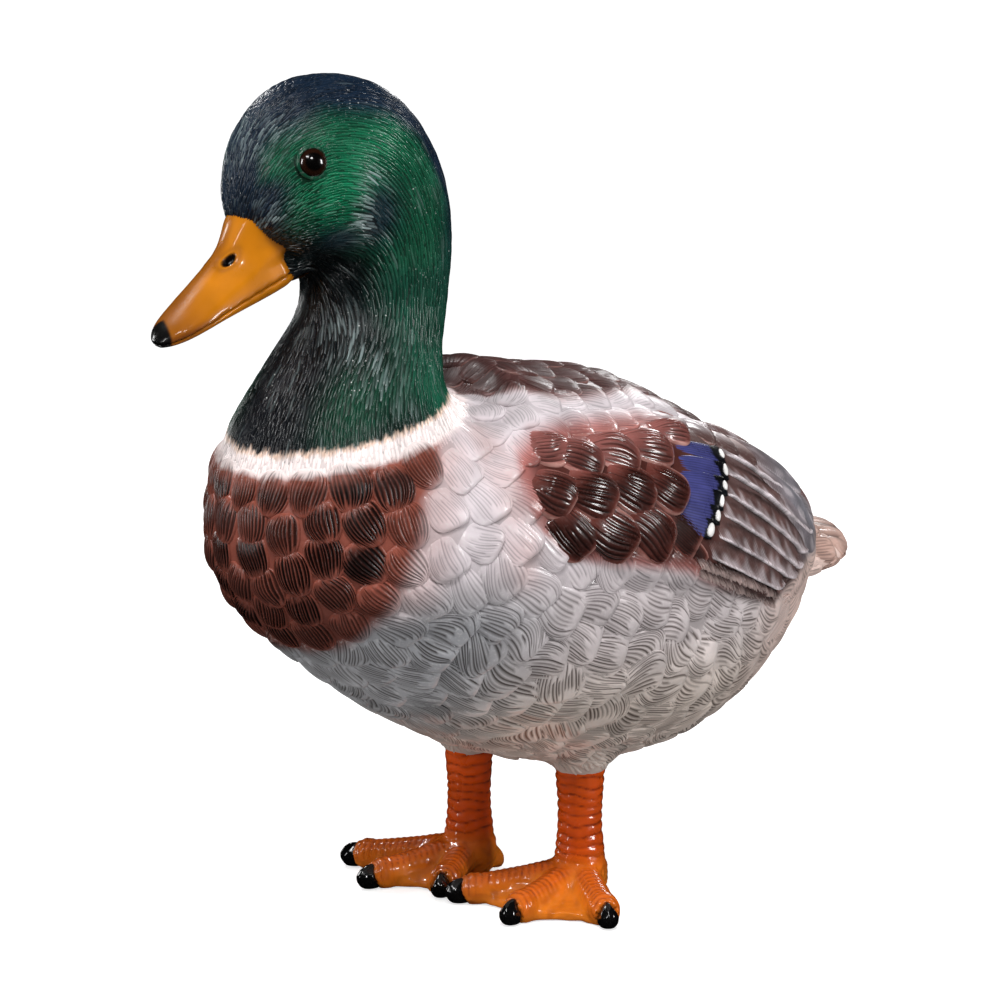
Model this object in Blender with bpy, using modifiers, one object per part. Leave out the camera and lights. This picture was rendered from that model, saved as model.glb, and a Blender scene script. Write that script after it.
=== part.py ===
"""Standing mallard drake, a painted cast-resin garden figure at about life size.

Frame: metres, +Z up.  The bird faces -Y and its left side is +X.  The origin lies on the ground
under the middle of the whole figure.

The body is one surface lofted along a bent centreline, from the rump through the breast and up the
neck to the forehead.  Thin cuts part it into trunk, neck and head, and the wings, tail, bill, eyes,
thighs, shanks, feet and claws are fitted to it with a gap of GAP all round.
"""
import math

import bmesh
import bpy
import numpy as np
from mathutils import Matrix, Vector

MM = 0.001
GAP = 0.3 * MM

# How finely each skin is made
BODY_RINGS, BODY_POINTS = 60, 36
BODY_VOXEL, BODY_SMOOTHING, BODY_TRIANGLES = 2.5 * MM, 2, 2300
FOOT_VOXEL, FOOT_SMOOTHING, FOOT_TRIANGLES = 1.2 * MM, 3, 500
WING_RINGS, WING_POINTS = 16, 16
TAIL_RINGS, TAIL_POINTS = 9, 18
BILL_RINGS, BILL_POINTS = 12, 10
EYE_SEGMENTS, EYE_RINGS = 12, 8
TOE_RINGS, TOE_POINTS = 9, 12
CLAW_SEGMENTS, CLAW_RINGS = 9, 7
ANKLE_POINTS, SHANK_RINGS, SHANK_POINTS, THIGH_RINGS, THIGH_POINTS = 20, 9, 14, 6, 16
WEB_STEPS = 9

# ---- driving dimensions, in millimetres: forward is -Y, measured from the middle of the feet ----
HEAD_TURN = 13.0            # degrees the head is turned to the bird's right
TURN_AXIS = 78.0            # forward place of the upright axis that the neck twists about
TWIST_FROM, TWIST_TO = 185.0, 250.0   # heights between which the neck takes up the turn

# The body's cross-sections: forward, height, climb of the centreline in degrees, half-width, and how far
# each reaches above and below the centreline
BODY = [
    (-132, 129, 1, 17, 12, 12),        # rump, over the tail
    (-121, 123, 3, 37, 28, 28),
    (-97, 117, 4, 55, 44.5, 44.5),
    (-62, 116, 5, 69, 65, 65),
    (-19, 123, 7, 75, 75, 75),         # deepest part of the belly, over the legs
    (28, 135, 14, 73, 70, 70),
    (61, 152, 31, 66.5, 63, 63),       # breast
    (83, 165, 55, 55, 55, 55),
    (88, 187, 74, 44, 39, 39),         # base of the neck
    (79.5, 207, 92, 33.5, 29, 29),
    (72, 225, 96, 27, 25.5, 25.5),
    (73, 243, 86, 27.5, 29, 27),       # throat
    (80, 259, 62, 32.5, 35.5, 26),
    (89.5, 270, 30, 36.5, 37.5, 34),   # cheeks
    (104, 272, 5, 33, 33, 33),
    (114, 266, -14, 25, 24, 24),
    (120, 260, -20, 17.5, 14.5, 14),   # forehead, behind the bill
    (123.5, 257, -22, 9, 7.5, 7.5),
    (125, 256, -22, 3, 2.5, 2.5),
]
TRUNK_ROWS, TRUNK_STEPS = 8, 141         # the rows as far as the breast, and how finely they are read
NECK_FROM = (87, 191, 68)        # forward, height and climb of the cut between trunk and neck
NECK_TO = (73, 243, 70)          # the cut between neck and head

# The folded left wing, laid on the trunk: forward, the angles round the body from its left side up
# to its lower and upper edge, and how far it stands out
WING = [
    (58, 14, 24, 1.0),           # shoulder
    (49, 6, 36, 4.0),
    (26, 1, 45, 6.0),
    (-10, 1, 51, 6.5),
    (-45, -1, 58, 6.0),
    (-80, -3, 66, 5.5),
    (-104, 0, 70, 5.0),
    (-121, 14, 66, 4.0),
    (-129, 28, 54, 2.0),         # tips of the long feathers
]
WING_ROOT = 6.0                  # how far its back goes into the trunk
WING_THIN = 3.0                  # where it stands out less than this, its back is shallower too

# The tail fan: forward, height of its middle, half-width, half-thickness
TAIL = [
    (-104, 120, 30, 17),
    (-128, 120, 31, 12.5),
    (-148, 121, 30, 7.5),
    (-160, 121, 25, 4.8),
    (-167, 121, 16, 3.0),
    (-170, 121, 6, 1.6),
]
TAIL_DROOP = 0.011               # the fan is a low roof: how its sides fall, per millimetre squared
TAIL_ROOM = 1.5 * GAP            # the gap round its root, inside the trunk

# The bill's sections from the corner of the mouth to the tip: along the mouth line, half-width,
# rise of the upper half, depth of the lower
BILL_CORNER = (106.5, 241)       # forward and height
BILL_PITCH = -25.0
LOWER_BILL_WIDTH = 0.93          # of the upper bill's
BILL = [
    (-7, 11.5, 21.5, 6.0),
    (7, 12.6, 20.5, 6.6),
    (18, 12.6, 15.6, 6.0),
    (28, 12.4, 11.6, 5.0),
    (40, 12.6, 7.6, 3.8),
    (48, 10.8, 5.2, 3.0),
    (53, 7.2, 3.2, 2.0),
    (55.5, 3.0, 1.4, 1.0),
]

EYE_PLACE = (107.5, 26, 276.5)   # forward, outward, height
EYE_RADIUS = 6.0

# Each leg: outward and forward place of the shank.  Its toes: name, direction in degrees outwards from
# straight ahead, length to the middle of the claw
LEGS = {"left": (21.5, -10), "right": (-29, 0)}
TOES = {
    "left": [("inner", -33, 46), ("middle", 9, 42), ("outer", 61, 38)],
    "right": [("inner", -29, 33), ("middle", 14, 43), ("outer", 53, 46)],
}
SHANK_TOP, ANKLE = 58.0, 15.0
SHANK = [(0, 9.6), (0.2, 9.5), (0.45, 8.6), (0.75, 8.5), (1, 10.0)]      # share of the way down, radius
THIGH = [(86, 24), (72, 22), (60, 16.5), (53, 12.4), (49.5, 10.8)]         # height, radius
ANKLE_ROWS = [(1, 8.5), (7, 11), (13, 10.8), (18, 10.0)]                   # height, radius
TOE_RADIUS = 6.0
TOE_DROP = 4.0                   # how far below the ankle's top a toe starts
HIND_TOE = (-162, 14)            # direction and length
HIND_RADIUS, HIND_DROP = 5.1, 5.0
CLAW = (3.7, 4.9, 5.6)           # half-width, half-height and half-length
CLAW_LEAN, CLAW_HEIGHT = -24.0, 4.3      # degrees back over the toe, and height of its middle
CLAW_TAPER = 0.22                # how much narrower it is at the top than at the middle
WEB_ROOT, WEB_THICK = 12.0, 4.0  # its height at the ankle and at its front edge
WEB_LOW = 0.2                    # height of its underside
WEB_REACH, WEB_HOLLOW = 0.93, 0.17       # shares of the toes: its corners, and how far it is drawn back
SOLE_TRIM, CLAW_TRIM = 0.6, 0.4  # taken off below, for the flats that the figure stands on

SIDES = {"left": 1, "right": -1}
ACROSS, UP = Vector((1, 0, 0)), Vector((0, 0, 1))


# ------------------------------------------------------------------ helpers
def material(name, colour, roughness, metallic=0.0):
    made = bpy.data.materials.new(name)
    made.use_nodes = True
    shader = made.node_tree.nodes["Principled BSDF"]
    shader.inputs["Base Color"].default_value = (*colour, 1)
    shader.inputs["Roughness"].default_value = roughness
    shader.inputs["Metallic"].default_value = metallic
    return made


def point(forward, outward, height):
    """A place given in millimetres, as the frame's vector."""
    return Vector((outward, -forward, height)) * MM


def through(rows, count):
    """Catmull-Rom through the rows of a table, as count evenly spread rows."""
    rows = np.array(rows, float)
    ends = np.vstack([2 * rows[0] - rows[1], rows, 2 * rows[-1] - rows[-2]])
    made = []
    for at in np.linspace(0, len(rows) - 1, count):
        i = min(int(at), len(rows) - 2)
        t = at - i
        a, b, c, d = ends[i:i + 4]
        made.append(0.5 * (2 * b + (c - a) * t + (2 * a - 5 * b + 4 * c - d) * t * t
                           + (3 * b - a - 3 * c + d) * t ** 3))
    return made


def loft(name, rings):
    """A closed skin over rings of equal counts, with a flat face at each end."""
    mesh = bmesh.new()
    made = [[mesh.verts.new(p) for p in ring] for ring in rings]
    count = len(made[0])
    for low, high in zip(made, made[1:]):
        for i in range(count):
            j = (i + 1) % count
            mesh.faces.new((low[i], low[j], high[j], high[i]))
    mesh.faces.new(list(reversed(made[0])))
    mesh.faces.new(made[-1])
    bmesh.ops.triangulate(mesh, faces=mesh.faces)
    bmesh.ops.recalc_face_normals(mesh, faces=mesh.faces)
    return from_bmesh(name, mesh)


def from_bmesh(name, mesh):
    data = bpy.data.meshes.new(name)
    mesh.to_mesh(data)
    mesh.free()
    return linked(name, data)


def linked(name, data):
    made = bpy.data.objects.new(name, data)
    bpy.context.scene.collection.objects.link(made)
    return made


def ring(centre, across, up, half_width, above, below, count):
    """A closed round of points that reaches half_width to each side, and above and below its centre."""
    made = []
    for i in range(count):
        angle = 2 * math.pi * i / count
        rise = math.sin(angle) * (above if math.sin(angle) > 0 else below)
        made.append(centre + across * (half_width * math.cos(angle)) + up * rise)
    return made


def round_ring(centre, across, up, radius, count):
    return ring(centre, across, up, radius, radius, radius, count)


def baked(thing):
    """The object with its modifiers and its place made part of its mesh."""
    graph = bpy.context.evaluated_depsgraph_get()
    bpy.context.view_layer.update()
    data = bpy.data.meshes.new_from_object(thing.evaluated_get(graph))
    data.transform(thing.matrix_world)
    name = thing.name
    bpy.data.objects.remove(thing)
    return linked(name, data)


def copied(thing, name):
    return linked(name, thing.data.copy())


def swollen(thing, by=GAP):
    """A helper copy whose surface stands out by that much all round, to cut with."""
    made = copied(thing, thing.name + "_room")
    grow = made.modifiers.new("grow", "DISPLACE")
    grow.mid_level = 0
    grow.strength = by
    return as_helper(baked(made))


def as_helper(thing):
    thing.hide_render = True
    thing.display_type = "WIRE"
    for home in list(thing.users_collection):
        home.objects.unlink(thing)
    helpers().objects.link(thing)
    return thing


def helpers():
    found = bpy.data.collections.get("cutters")
    if not found:
        found = bpy.data.collections.new("cutters")
        bpy.context.scene.collection.children.link(found)
    return found


def joined(thing, other, operation):
    """thing after a Boolean with other.  other stays as it is."""
    step = thing.modifiers.new(operation.lower(), "BOOLEAN")
    step.operation = operation
    step.object = other
    return baked(thing)


def fused(things, name, voxel, smoothing, triangles):
    """Solids that overlap, made one smooth skin of about that many triangles."""
    whole = things[0]
    for other in things[1:]:
        whole = joined(whole, other, "UNION")
        bpy.data.objects.remove(other)
    grid = whole.modifiers.new("remesh", "REMESH")
    grid.mode = "VOXEL"
    grid.voxel_size = voxel
    ease = whole.modifiers.new("ease", "SMOOTH")
    ease.factor = 0.5
    ease.iterations = smoothing
    whole = baked(whole)
    whole.name = name
    fewer = whole.modifiers.new("fewer", "DECIMATE")
    fewer.ratio = triangles / (2 * len(whole.data.polygons))
    return baked(whole)


def kept_side(thing, place, normal):
    """The object cut by a plane, without what lies on the side that normal points to."""
    mesh = bmesh.new()
    mesh.from_mesh(thing.data)
    everything = list(mesh.verts) + list(mesh.edges) + list(mesh.faces)
    bmesh.ops.bisect_plane(mesh, geom=everything, plane_co=place, plane_no=normal, clear_outer=True)
    rim = [edge for edge in mesh.edges if edge.is_boundary]
    bmesh.ops.holes_fill(mesh, edges=rim)
    bmesh.ops.recalc_face_normals(mesh, faces=mesh.faces)
    mesh.to_mesh(thing.data)
    mesh.free()
    return thing


def without_slivers(thing):
    """The object's largest body alone, where a cut has shaved thin slivers off it."""
    mesh = bmesh.new()
    mesh.from_mesh(thing.data)
    loose, bodies = set(mesh.verts), []
    while loose:
        body, edge = set(), {loose.pop()}
        while edge:
            body |= edge
            edge = {near.other_vert(vertex) for vertex in edge for near in vertex.link_edges} - body
        loose -= body
        bodies.append(body)
    largest = max(bodies, key=len)
    bmesh.ops.delete(mesh, geom=[vertex for vertex in mesh.verts if vertex not in largest], context="VERTS")
    mesh.to_mesh(thing.data)
    mesh.free()
    return thing


def mirrored(thing, name):
    """A copy on the other side of the bird."""
    made = copied(thing, name)
    made.data.transform(Matrix.Scale(-1, 4, Vector((1, 0, 0))))
    made.data.flip_normals()
    return made


def turned(thing):
    """Twists the object about the neck's axis: nothing below TWIST_FROM, all of HEAD_TURN above TWIST_TO."""
    axis = point(TURN_AXIS, 0, 0)
    for vertex in thing.data.vertices:
        share = (vertex.co.z / MM - TWIST_FROM) / (TWIST_TO - TWIST_FROM)
        share = min(max(share, 0), 1)
        share = share * share * (3 - 2 * share)
        spin = Matrix.Rotation(-math.radians(HEAD_TURN) * share, 4, "Z")
        vertex.co = axis + spin @ (vertex.co - axis)
    return thing


def finished(thing, name, finish):
    thing.name = name
    thing.data.name = name
    thing.data.materials.clear()
    thing.data.materials.append(finish)
    thing.data.shade_smooth()
    for home in list(thing.users_collection):
        home.objects.unlink(thing)
    bpy.data.collections["mallard"].objects.link(thing)
    return thing


# ------------------------------------------------------------------ the body
def climb_axes(climb):
    """The direction that the centreline travels, and the one across it in the middle plane."""
    angle = math.radians(climb)
    return Vector((0, -math.cos(angle), math.sin(angle))), Vector((0, math.sin(angle), math.cos(angle)))


def body_skin():
    rings = []
    for forward, height, climb, wide, above, below in through(BODY, BODY_RINGS):
        _, up = climb_axes(climb)
        centre = point(forward, 0, height)
        rings.append(ring(centre, ACROSS, up, wide * MM, above * MM, below * MM, BODY_POINTS))
    return turned(loft("body", rings))


def on_trunk(forward, angle, out):
    """A place out from the trunk's left side, at that angle round its section."""
    rows = np.array(through(BODY[:TRUNK_ROWS], TRUNK_STEPS))
    row = [np.interp(forward, rows[:, 0], rows[:, i]) for i in range(5)]
    _, up = climb_axes(row[2])
    across, rise = math.cos(math.radians(angle)), math.sin(math.radians(angle))
    place = point(forward, 0, row[1]) + Vector((row[3] * across, 0, 0)) * MM + up * (row[4] * rise * MM)
    normal = Vector((across / row[3], 0, 0)) + up * (rise / row[4])
    return place + normal.normalized() * (out * MM)


def wing_skin():
    """The folded wing: a lens in every section, lying on the trunk."""
    rings = []
    for forward, low, high, proud in through(WING, WING_RINGS):
        middle, half = (low + high) / 2, (high - low) / 2
        root = WING_ROOT * min(1, proud / WING_THIN)
        section = []
        for i in range(WING_POINTS):
            turn = 2 * math.pi * i / WING_POINTS
            out = math.cos(turn) * (proud if math.cos(turn) > 0 else root)
            section.append(on_trunk(forward, middle + half * math.sin(turn), out))
        rings.append(section)
    return loft("wing_left", rings)


def tail_skin():
    rings = []
    for forward, height, wide, thick in through(TAIL, TAIL_RINGS):
        section = ring(point(forward, 0, height), ACROSS, UP, wide * MM, thick * MM, thick * MM, TAIL_POINTS)
        for place in section:
            place.z -= TAIL_DROOP * (place.x / MM) ** 2 * MM
        rings.append(section)
    return loft("tail", rings)


def bill_half(name, upper):
    """The upper or the lower bill: half an ellipse over or under the mouth line."""
    travel, up = climb_axes(BILL_PITCH)
    base = point(BILL_CORNER[0], 0, BILL_CORNER[1])
    rings = []
    for along, wide, rise, depth in through(BILL, BILL_RINGS):
        high = rise if upper else depth
        wide = wide if upper else wide * LOWER_BILL_WIDTH
        centre = base + travel * along * MM
        half = []
        for i in range(BILL_POINTS):
            angle = math.pi * i / (BILL_POINTS - 1)
            half.append(centre + ACROSS * (wide * MM * math.cos(angle))
                        + up * ((GAP / 2 + high * MM * math.sin(angle)) * (1 if upper else -1)))
        rings.append(half)
    return turned(loft(name, rings))


def eye_ball(side):
    mesh = bmesh.new()
    bmesh.ops.create_uvsphere(mesh, u_segments=EYE_SEGMENTS, v_segments=EYE_RINGS, radius=EYE_RADIUS * MM)
    forward, outward, height = EYE_PLACE
    bmesh.ops.translate(mesh, verts=mesh.verts, vec=point(forward, outward * SIDES[side], height))
    return turned(from_bmesh("eye_" + side, mesh))


# ------------------------------------------------------------------ the legs
def upright(name, rows, outward, forward, count):
    """A turned shape about an upright axis, from rows of height and radius."""
    rings = [round_ring(point(forward, outward, height), ACROSS, Vector((0, 1, 0)), radius * MM, count)
             for height, radius in rows]
    return loft(name, rings)


def heading_axes(heading):
    """The level direction of a toe and the one across it.  A positive heading leads to the bird's left."""
    return (Vector((math.sin(heading), -math.cos(heading), 0)),
            Vector((math.cos(heading), math.sin(heading), 0)))


def toe_shape(name, hub, heading, length, radius, rise):
    """One toe: a tapered finger from the ankle down to the ground."""
    ahead, side = heading_axes(heading)
    rows = [(0, 1.3, rise), (0.3, 1.1, rise * 0.8), (0.6, 1.0, radius * 1.2), (0.88, 0.94, radius),
            (1.0, 0.66, radius * 0.85)]
    rings = []
    for share, width, height in through(rows, TOE_RINGS):
        centre = hub + ahead * (length * share * MM)
        centre.z = height * MM
        rings.append(round_ring(centre, side, UP, radius * width * MM, TOE_POINTS))
    return loft(name, rings)


def claw_shape(name, hub, heading, reach):
    """A blunt black claw capping the end of a toe, leaning back over it."""
    ahead, side = heading_axes(heading)
    half_width, half_height, half_length = CLAW
    mesh = bmesh.new()
    bmesh.ops.create_uvsphere(mesh, u_segments=CLAW_SEGMENTS, v_segments=CLAW_RINGS, radius=MM)
    lean = Matrix.Rotation(math.radians(CLAW_LEAN), 3, "X")
    for vertex in mesh.verts:
        x, y, z = vertex.co
        shaped = lean @ Vector((x * half_width * (1 - CLAW_TAPER * z / MM), y * half_length, z * half_height))
        vertex.co = hub + ahead * (reach * MM - shaped.y) + side * shaped.x
        vertex.co.z = shaped.z + CLAW_HEIGHT * MM
    bmesh.ops.recalc_face_normals(mesh, faces=mesh.faces)
    return from_bmesh(name, mesh)


def web_shape(hub, headings, lengths):
    """The web between two toes: a wedge that falls from the ankle, its front edge drawn back a little."""
    low, high = [hub.copy()], [hub.copy()]
    low[0].z = WEB_LOW * MM
    high[0].z = WEB_ROOT * MM
    for share in np.linspace(0, 1, WEB_STEPS):
        heading = headings[0] * (1 - share) + headings[1] * share
        reach = lengths[0] * (1 - share) + lengths[1] * share
        reach *= WEB_REACH - WEB_HOLLOW * math.sin(math.pi * share)
        edge = hub + heading_axes(heading)[0] * (reach * MM)
        low.append(Vector((edge.x, edge.y, WEB_LOW * MM)))
        high.append(Vector((edge.x, edge.y, WEB_THICK * MM)))
    return loft("web", [low, high])


def foot(side):
    """Toes, web and ankle as one solid with a flat sole, and its claws."""
    outward, forward = LEGS[side]
    sign = SIDES[side]
    hub = point(forward, outward, 0)
    pieces = [upright("ankle", ANKLE_ROWS, outward, forward, ANKLE_POINTS)]
    claws = []
    headings = [sign * math.radians(direction) for _, direction, _ in TOES[side]]
    lengths = [length for _, _, length in TOES[side]]
    for (toe, _, length), heading in zip(TOES[side], headings):
        pieces.append(toe_shape("toe", hub, heading, length, TOE_RADIUS, ANKLE - TOE_DROP))
        claws.append((f"claw_{side}_{toe}", claw_shape("claw", hub, heading, length)))
    for i in (0, 1):
        pieces.append(web_shape(hub, headings[i:i + 2], lengths[i:i + 2]))
    hind = sign * math.radians(HIND_TOE[0])
    pieces.append(toe_shape("hind", hub, hind, HIND_TOE[1], HIND_RADIUS, ANKLE - HIND_DROP))
    skin = fused(pieces, "foot_" + side, FOOT_VOXEL, FOOT_SMOOTHING, FOOT_TRIANGLES)
    skin = kept_side(skin, point(0, 0, ANKLE), UP)
    skin = kept_side(skin, point(0, 0, SOLE_TRIM), -UP)
    skin.data.transform(Matrix.Translation((0, 0, -SOLE_TRIM * MM)))
    for name, claw in claws:
        skin = joined(skin, swollen(claw), "DIFFERENCE")
        claw = kept_side(claw, point(0, 0, CLAW_TRIM), -UP)
        finished(claw, name, FINISH["claw"])
    return finished(without_slivers(skin), "foot_" + side, FINISH["leg"])


def leg(side):
    """Shank, and the thigh whose cuff holds it."""
    outward, forward = LEGS[side]
    span = SHANK_TOP - ANKLE - GAP / MM
    rows = [(SHANK_TOP - span * share, radius) for share, radius in through(SHANK, SHANK_RINGS)]
    shank = upright("shank_" + side, rows, outward, forward, SHANK_POINTS)
    finished(shank, "shank_" + side, FINISH["leg"])
    return upright("thigh_" + side, through(THIGH, THIGH_RINGS), outward, forward, THIGH_POINTS)


# ------------------------------------------------------------------ the whole figure
def parted_body():
    """Trunk, neck and head, cut apart by two planes that cross the centreline."""
    whole = fused([body_skin()], "body", BODY_VOXEL, BODY_SMOOTHING, BODY_TRIANGLES)
    cuts = []
    for forward, height, climb in (NECK_FROM, NECK_TO):
        travel, _ = climb_axes(climb)
        cuts.append((point(forward, 0, height), travel))
    made = {}
    for name, start, end in (("trunk", None, 0), ("neck", 0, 1), ("head", 1, None)):
        piece = copied(whole, name)
        if start is not None:
            place, travel = cuts[start]
            piece = kept_side(piece, place + travel * (GAP / 2), -travel)
        if end is not None:
            place, travel = cuts[end]
            piece = kept_side(piece, place - travel * (GAP / 2), travel)
        made[name] = piece
    bpy.data.objects.remove(whole)
    return made


def centred(things):
    """Moves the finished figure level, so that the origin lies under the middle of its outline."""
    places = np.array([vertex.co for thing in things for vertex in thing.data.vertices])
    middle = (places.min(axis=0) + places.max(axis=0)) / 2
    for thing in things:
        thing.data.transform(Matrix.Translation((-middle[0], -middle[1], 0)))


def build():
    pieces = parted_body()
    trunk, head = pieces["trunk"], pieces["head"]

    wing = wing_skin()
    other = mirrored(wing, "wing_right")
    tail = tail_skin()
    trunk = joined(trunk, swollen(tail, TAIL_ROOM), "DIFFERENCE")
    for folded in (wing, other):
        room = swollen(folded)
        tail = joined(tail, room, "DIFFERENCE")
        trunk = joined(trunk, room, "DIFFERENCE")
    finished(wing, "wing_left", FINISH["wing"])
    finished(other, "wing_right", FINISH["wing"])
    finished(without_slivers(tail), "tail", FINISH["wing"])

    for side in SIDES:
        foot(side)
        thigh = leg(side)
        room = swollen(bpy.data.objects["shank_" + side])
        thigh = joined(thigh, room, "DIFFERENCE")
        trunk = joined(trunk, swollen(thigh), "DIFFERENCE")
        finished(thigh, "thigh_" + side, FINISH["body"])

    for upper in (True, False):
        name = "bill_upper" if upper else "bill_lower"
        half = bill_half(name, upper)
        room = swollen(half)
        head = joined(head, room, "DIFFERENCE")
        finished(half, name, FINISH["bill"])
    for side in SIDES:
        eye = eye_ball(side)
        head = joined(head, swollen(eye), "DIFFERENCE")
        finished(eye, "eye_" + side, FINISH["eye"])

    finished(without_slivers(trunk), "trunk", FINISH["body"])
    finished(pieces["neck"], "neck", FINISH["head"])
    finished(without_slivers(head), "head", FINISH["head"])
    centred(bpy.data.collections["mallard"].objects)


def cleared():
    for thing in list(bpy.data.objects):
        bpy.data.objects.remove(thing)
    home = bpy.data.collections.new("mallard")
    bpy.context.scene.collection.children.link(home)


cleared()
FINISH = {
    "body": material("painted_body", (0.55, 0.50, 0.48), 0.45),
    "head": material("painted_green", (0.02, 0.13, 0.07), 0.35),
    "wing": material("painted_wing", (0.17, 0.09, 0.07), 0.4),
    "bill": material("painted_bill", (0.75, 0.38, 0.04), 0.25),
    "leg": material("painted_leg", (0.72, 0.22, 0.03), 0.25),
    "claw": material("painted_claw", (0.01, 0.01, 0.01), 0.15),
    "eye": material("glass_eye", (0.02, 0.01, 0.008), 0.05),
}
build()
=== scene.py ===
"""Looks of a painted cast-resin mallard drake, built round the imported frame.

One skin stands for the flesh.  On it lie the modelled feathers, as ridged plates and fine strokes of
real mesh, painted like the casting: sprayed ground colours, a dark wash in the grooves and a dry
brush on the ridges.  Lengths are in millimetres until a mesh is made.
"""
import math

import bmesh
import bpy
import numpy as np
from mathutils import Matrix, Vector
from mathutils.bvhtree import BVHTree


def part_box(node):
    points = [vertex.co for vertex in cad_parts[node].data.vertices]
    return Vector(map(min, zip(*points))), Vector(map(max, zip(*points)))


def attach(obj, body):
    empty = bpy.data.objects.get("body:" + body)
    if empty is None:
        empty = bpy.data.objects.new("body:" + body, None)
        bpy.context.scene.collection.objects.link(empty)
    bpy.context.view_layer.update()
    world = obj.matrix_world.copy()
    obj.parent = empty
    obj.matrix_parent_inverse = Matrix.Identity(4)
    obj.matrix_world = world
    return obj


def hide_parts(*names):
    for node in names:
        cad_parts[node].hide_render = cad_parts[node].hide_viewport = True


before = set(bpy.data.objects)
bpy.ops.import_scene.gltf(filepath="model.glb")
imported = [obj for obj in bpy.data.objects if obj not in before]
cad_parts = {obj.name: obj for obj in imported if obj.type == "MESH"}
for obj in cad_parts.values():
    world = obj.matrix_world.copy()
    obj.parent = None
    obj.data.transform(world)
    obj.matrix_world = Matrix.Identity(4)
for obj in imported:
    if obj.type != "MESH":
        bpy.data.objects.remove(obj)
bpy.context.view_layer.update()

MM = 0.001
RNG = np.random.default_rng(11)

# ---- driving measures, in millimetres, in the frame's axes (forward is -Y) ----
HEAD_TURN = 13.0                 # degrees to the bird's right
TURN_AXIS = 84.5                 # forward place of the upright axis that the neck twists about
TWIST_FROM, TWIST_TO = 185.0, 250.0
COAT = 0.7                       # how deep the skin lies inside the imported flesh

# The middle line of the body from the rump to the bill: forward, height
SPINE = [(-125, 129), (-90, 117), (-55, 116), (-12, 123), (34, 135), (67, 152), (89, 166), (94.5, 187),
         (86, 207), (78.5, 225), (79.5, 243), (86.5, 259), (96, 270), (110, 272), (120, 266), (127, 259)]

SIDES = {"left": 1, "right": -1}
TOES = ("inner", "middle", "outer")


# ------------------------------------------------------------------ small sums
def smooth(value, low, high):
    share = np.clip((value - low) / (high - low), 0, 1)
    return share * share * (3 - 2 * share)


def mixed(first, second, share):
    return first + (second - first) * np.asarray(share)[..., None]


def rgb(red, green, blue):
    """A colour given as it looks on a screen, from 0 to 255, as linear light."""
    seen = np.array([red, green, blue], float) / 255
    return np.where(seen <= 0.04045, seen / 12.92, ((seen + 0.055) / 1.055) ** 2.4)


def unit(vectors):
    return vectors / np.maximum(np.linalg.norm(vectors, axis=-1, keepdims=True), 1e-9)


def cloudy(places, size, seed):
    """Soft noise from -1 to 1 whose blotches are about that size."""
    rng = np.random.default_rng(seed)
    total = 0
    for _ in range(6):
        wave = unit(rng.normal(size=3)) * (2 * math.pi / size) * rng.uniform(0.6, 1.5)
        total = total + np.sin(places @ wave + rng.uniform(0, 6.28))
    return total / 3.4


def twisted(places, way=-1):
    """Places of the straight bird turned with its neck; way=1 undoes it."""
    share = smooth(places[..., 2], TWIST_FROM, TWIST_TO)
    angle = way * math.radians(HEAD_TURN) * share
    across, ahead = places[..., 0], places[..., 1] + TURN_AXIS
    return np.stack([across * np.cos(angle) - ahead * np.sin(angle),
                     across * np.sin(angle) + ahead * np.cos(angle) - TURN_AXIS, places[..., 2]], -1)


def straightened(places):
    """Outward, forward and height of each place on the bird with its neck straight."""
    straight = twisted(places, 1)
    return straight[..., 0], -straight[..., 1], straight[..., 2]


# ------------------------------------------------------------------ the middle line
def rounded_line(points, count):
    """A smooth line of evenly spread points through a few."""
    points = np.array(points, float)
    ends = np.vstack([2 * points[0] - points[1], points, 2 * points[-1] - points[-2]])
    line = []
    for at in np.linspace(0, len(points) - 1, 20 * len(points)):
        i = min(int(at), len(points) - 2)
        t = at - i
        a, b, c, d = ends[i:i + 4]
        line.append(0.5 * (2 * b + (c - a) * t + (2 * a - 5 * b + 4 * c - d) * t * t
                           + (3 * b - a - 3 * c + d) * t ** 3))
    line = np.array(line)
    run = np.concatenate([[0], np.cumsum(np.linalg.norm(np.diff(line, axis=0), axis=1))])
    even = np.linspace(0, run[-1], count)
    return np.stack([np.interp(even, run, line[:, i]) for i in range(line.shape[1])], 1), even


MIDLINE, MIDLINE_RUN = rounded_line(SPINE, 240)
MIDLINE_WAY = unit(np.gradient(MIDLINE, axis=0))


def along_body(places, blend=14.0):
    """How far along the middle line each place lies, from 0 at the rump, and the direction towards the
    tail there, as (forward, height)."""
    _, forward, height = straightened(places)
    gap = (forward[:, None] - MIDLINE[:, 0]) ** 2 + (height[:, None] - MIDLINE[:, 1]) ** 2
    weight = np.exp(-(gap - gap.min(1, keepdims=True)) / (2 * blend ** 2))
    weight /= weight.sum(1, keepdims=True)
    return weight @ MIDLINE_RUN, -unit(weight @ MIDLINE_WAY)


FACE_CENTRE = twisted(np.array([[0.0, -124.0, 246.0]]))    # in the bill: the strokes radiate from it


def lie(places, normals, droop=0.0):
    """The direction in which the feathers point, along the surface."""
    _, back = along_body(places)
    share = smooth(places[:, 2], TWIST_FROM, TWIST_TO)
    angle = -math.radians(HEAD_TURN) * share
    flat = -back[:, 0]
    way = np.stack([-np.sin(angle) * flat, np.cos(angle) * flat, back[:, 1] - droop], 1)
    away = places - FACE_CENTRE
    far = np.linalg.norm(away, axis=1, keepdims=True)
    way += away / far * 2.2 * smooth(far, 52, 18)
    way -= normals * (way * normals).sum(1, keepdims=True)
    return unit(way)


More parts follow.
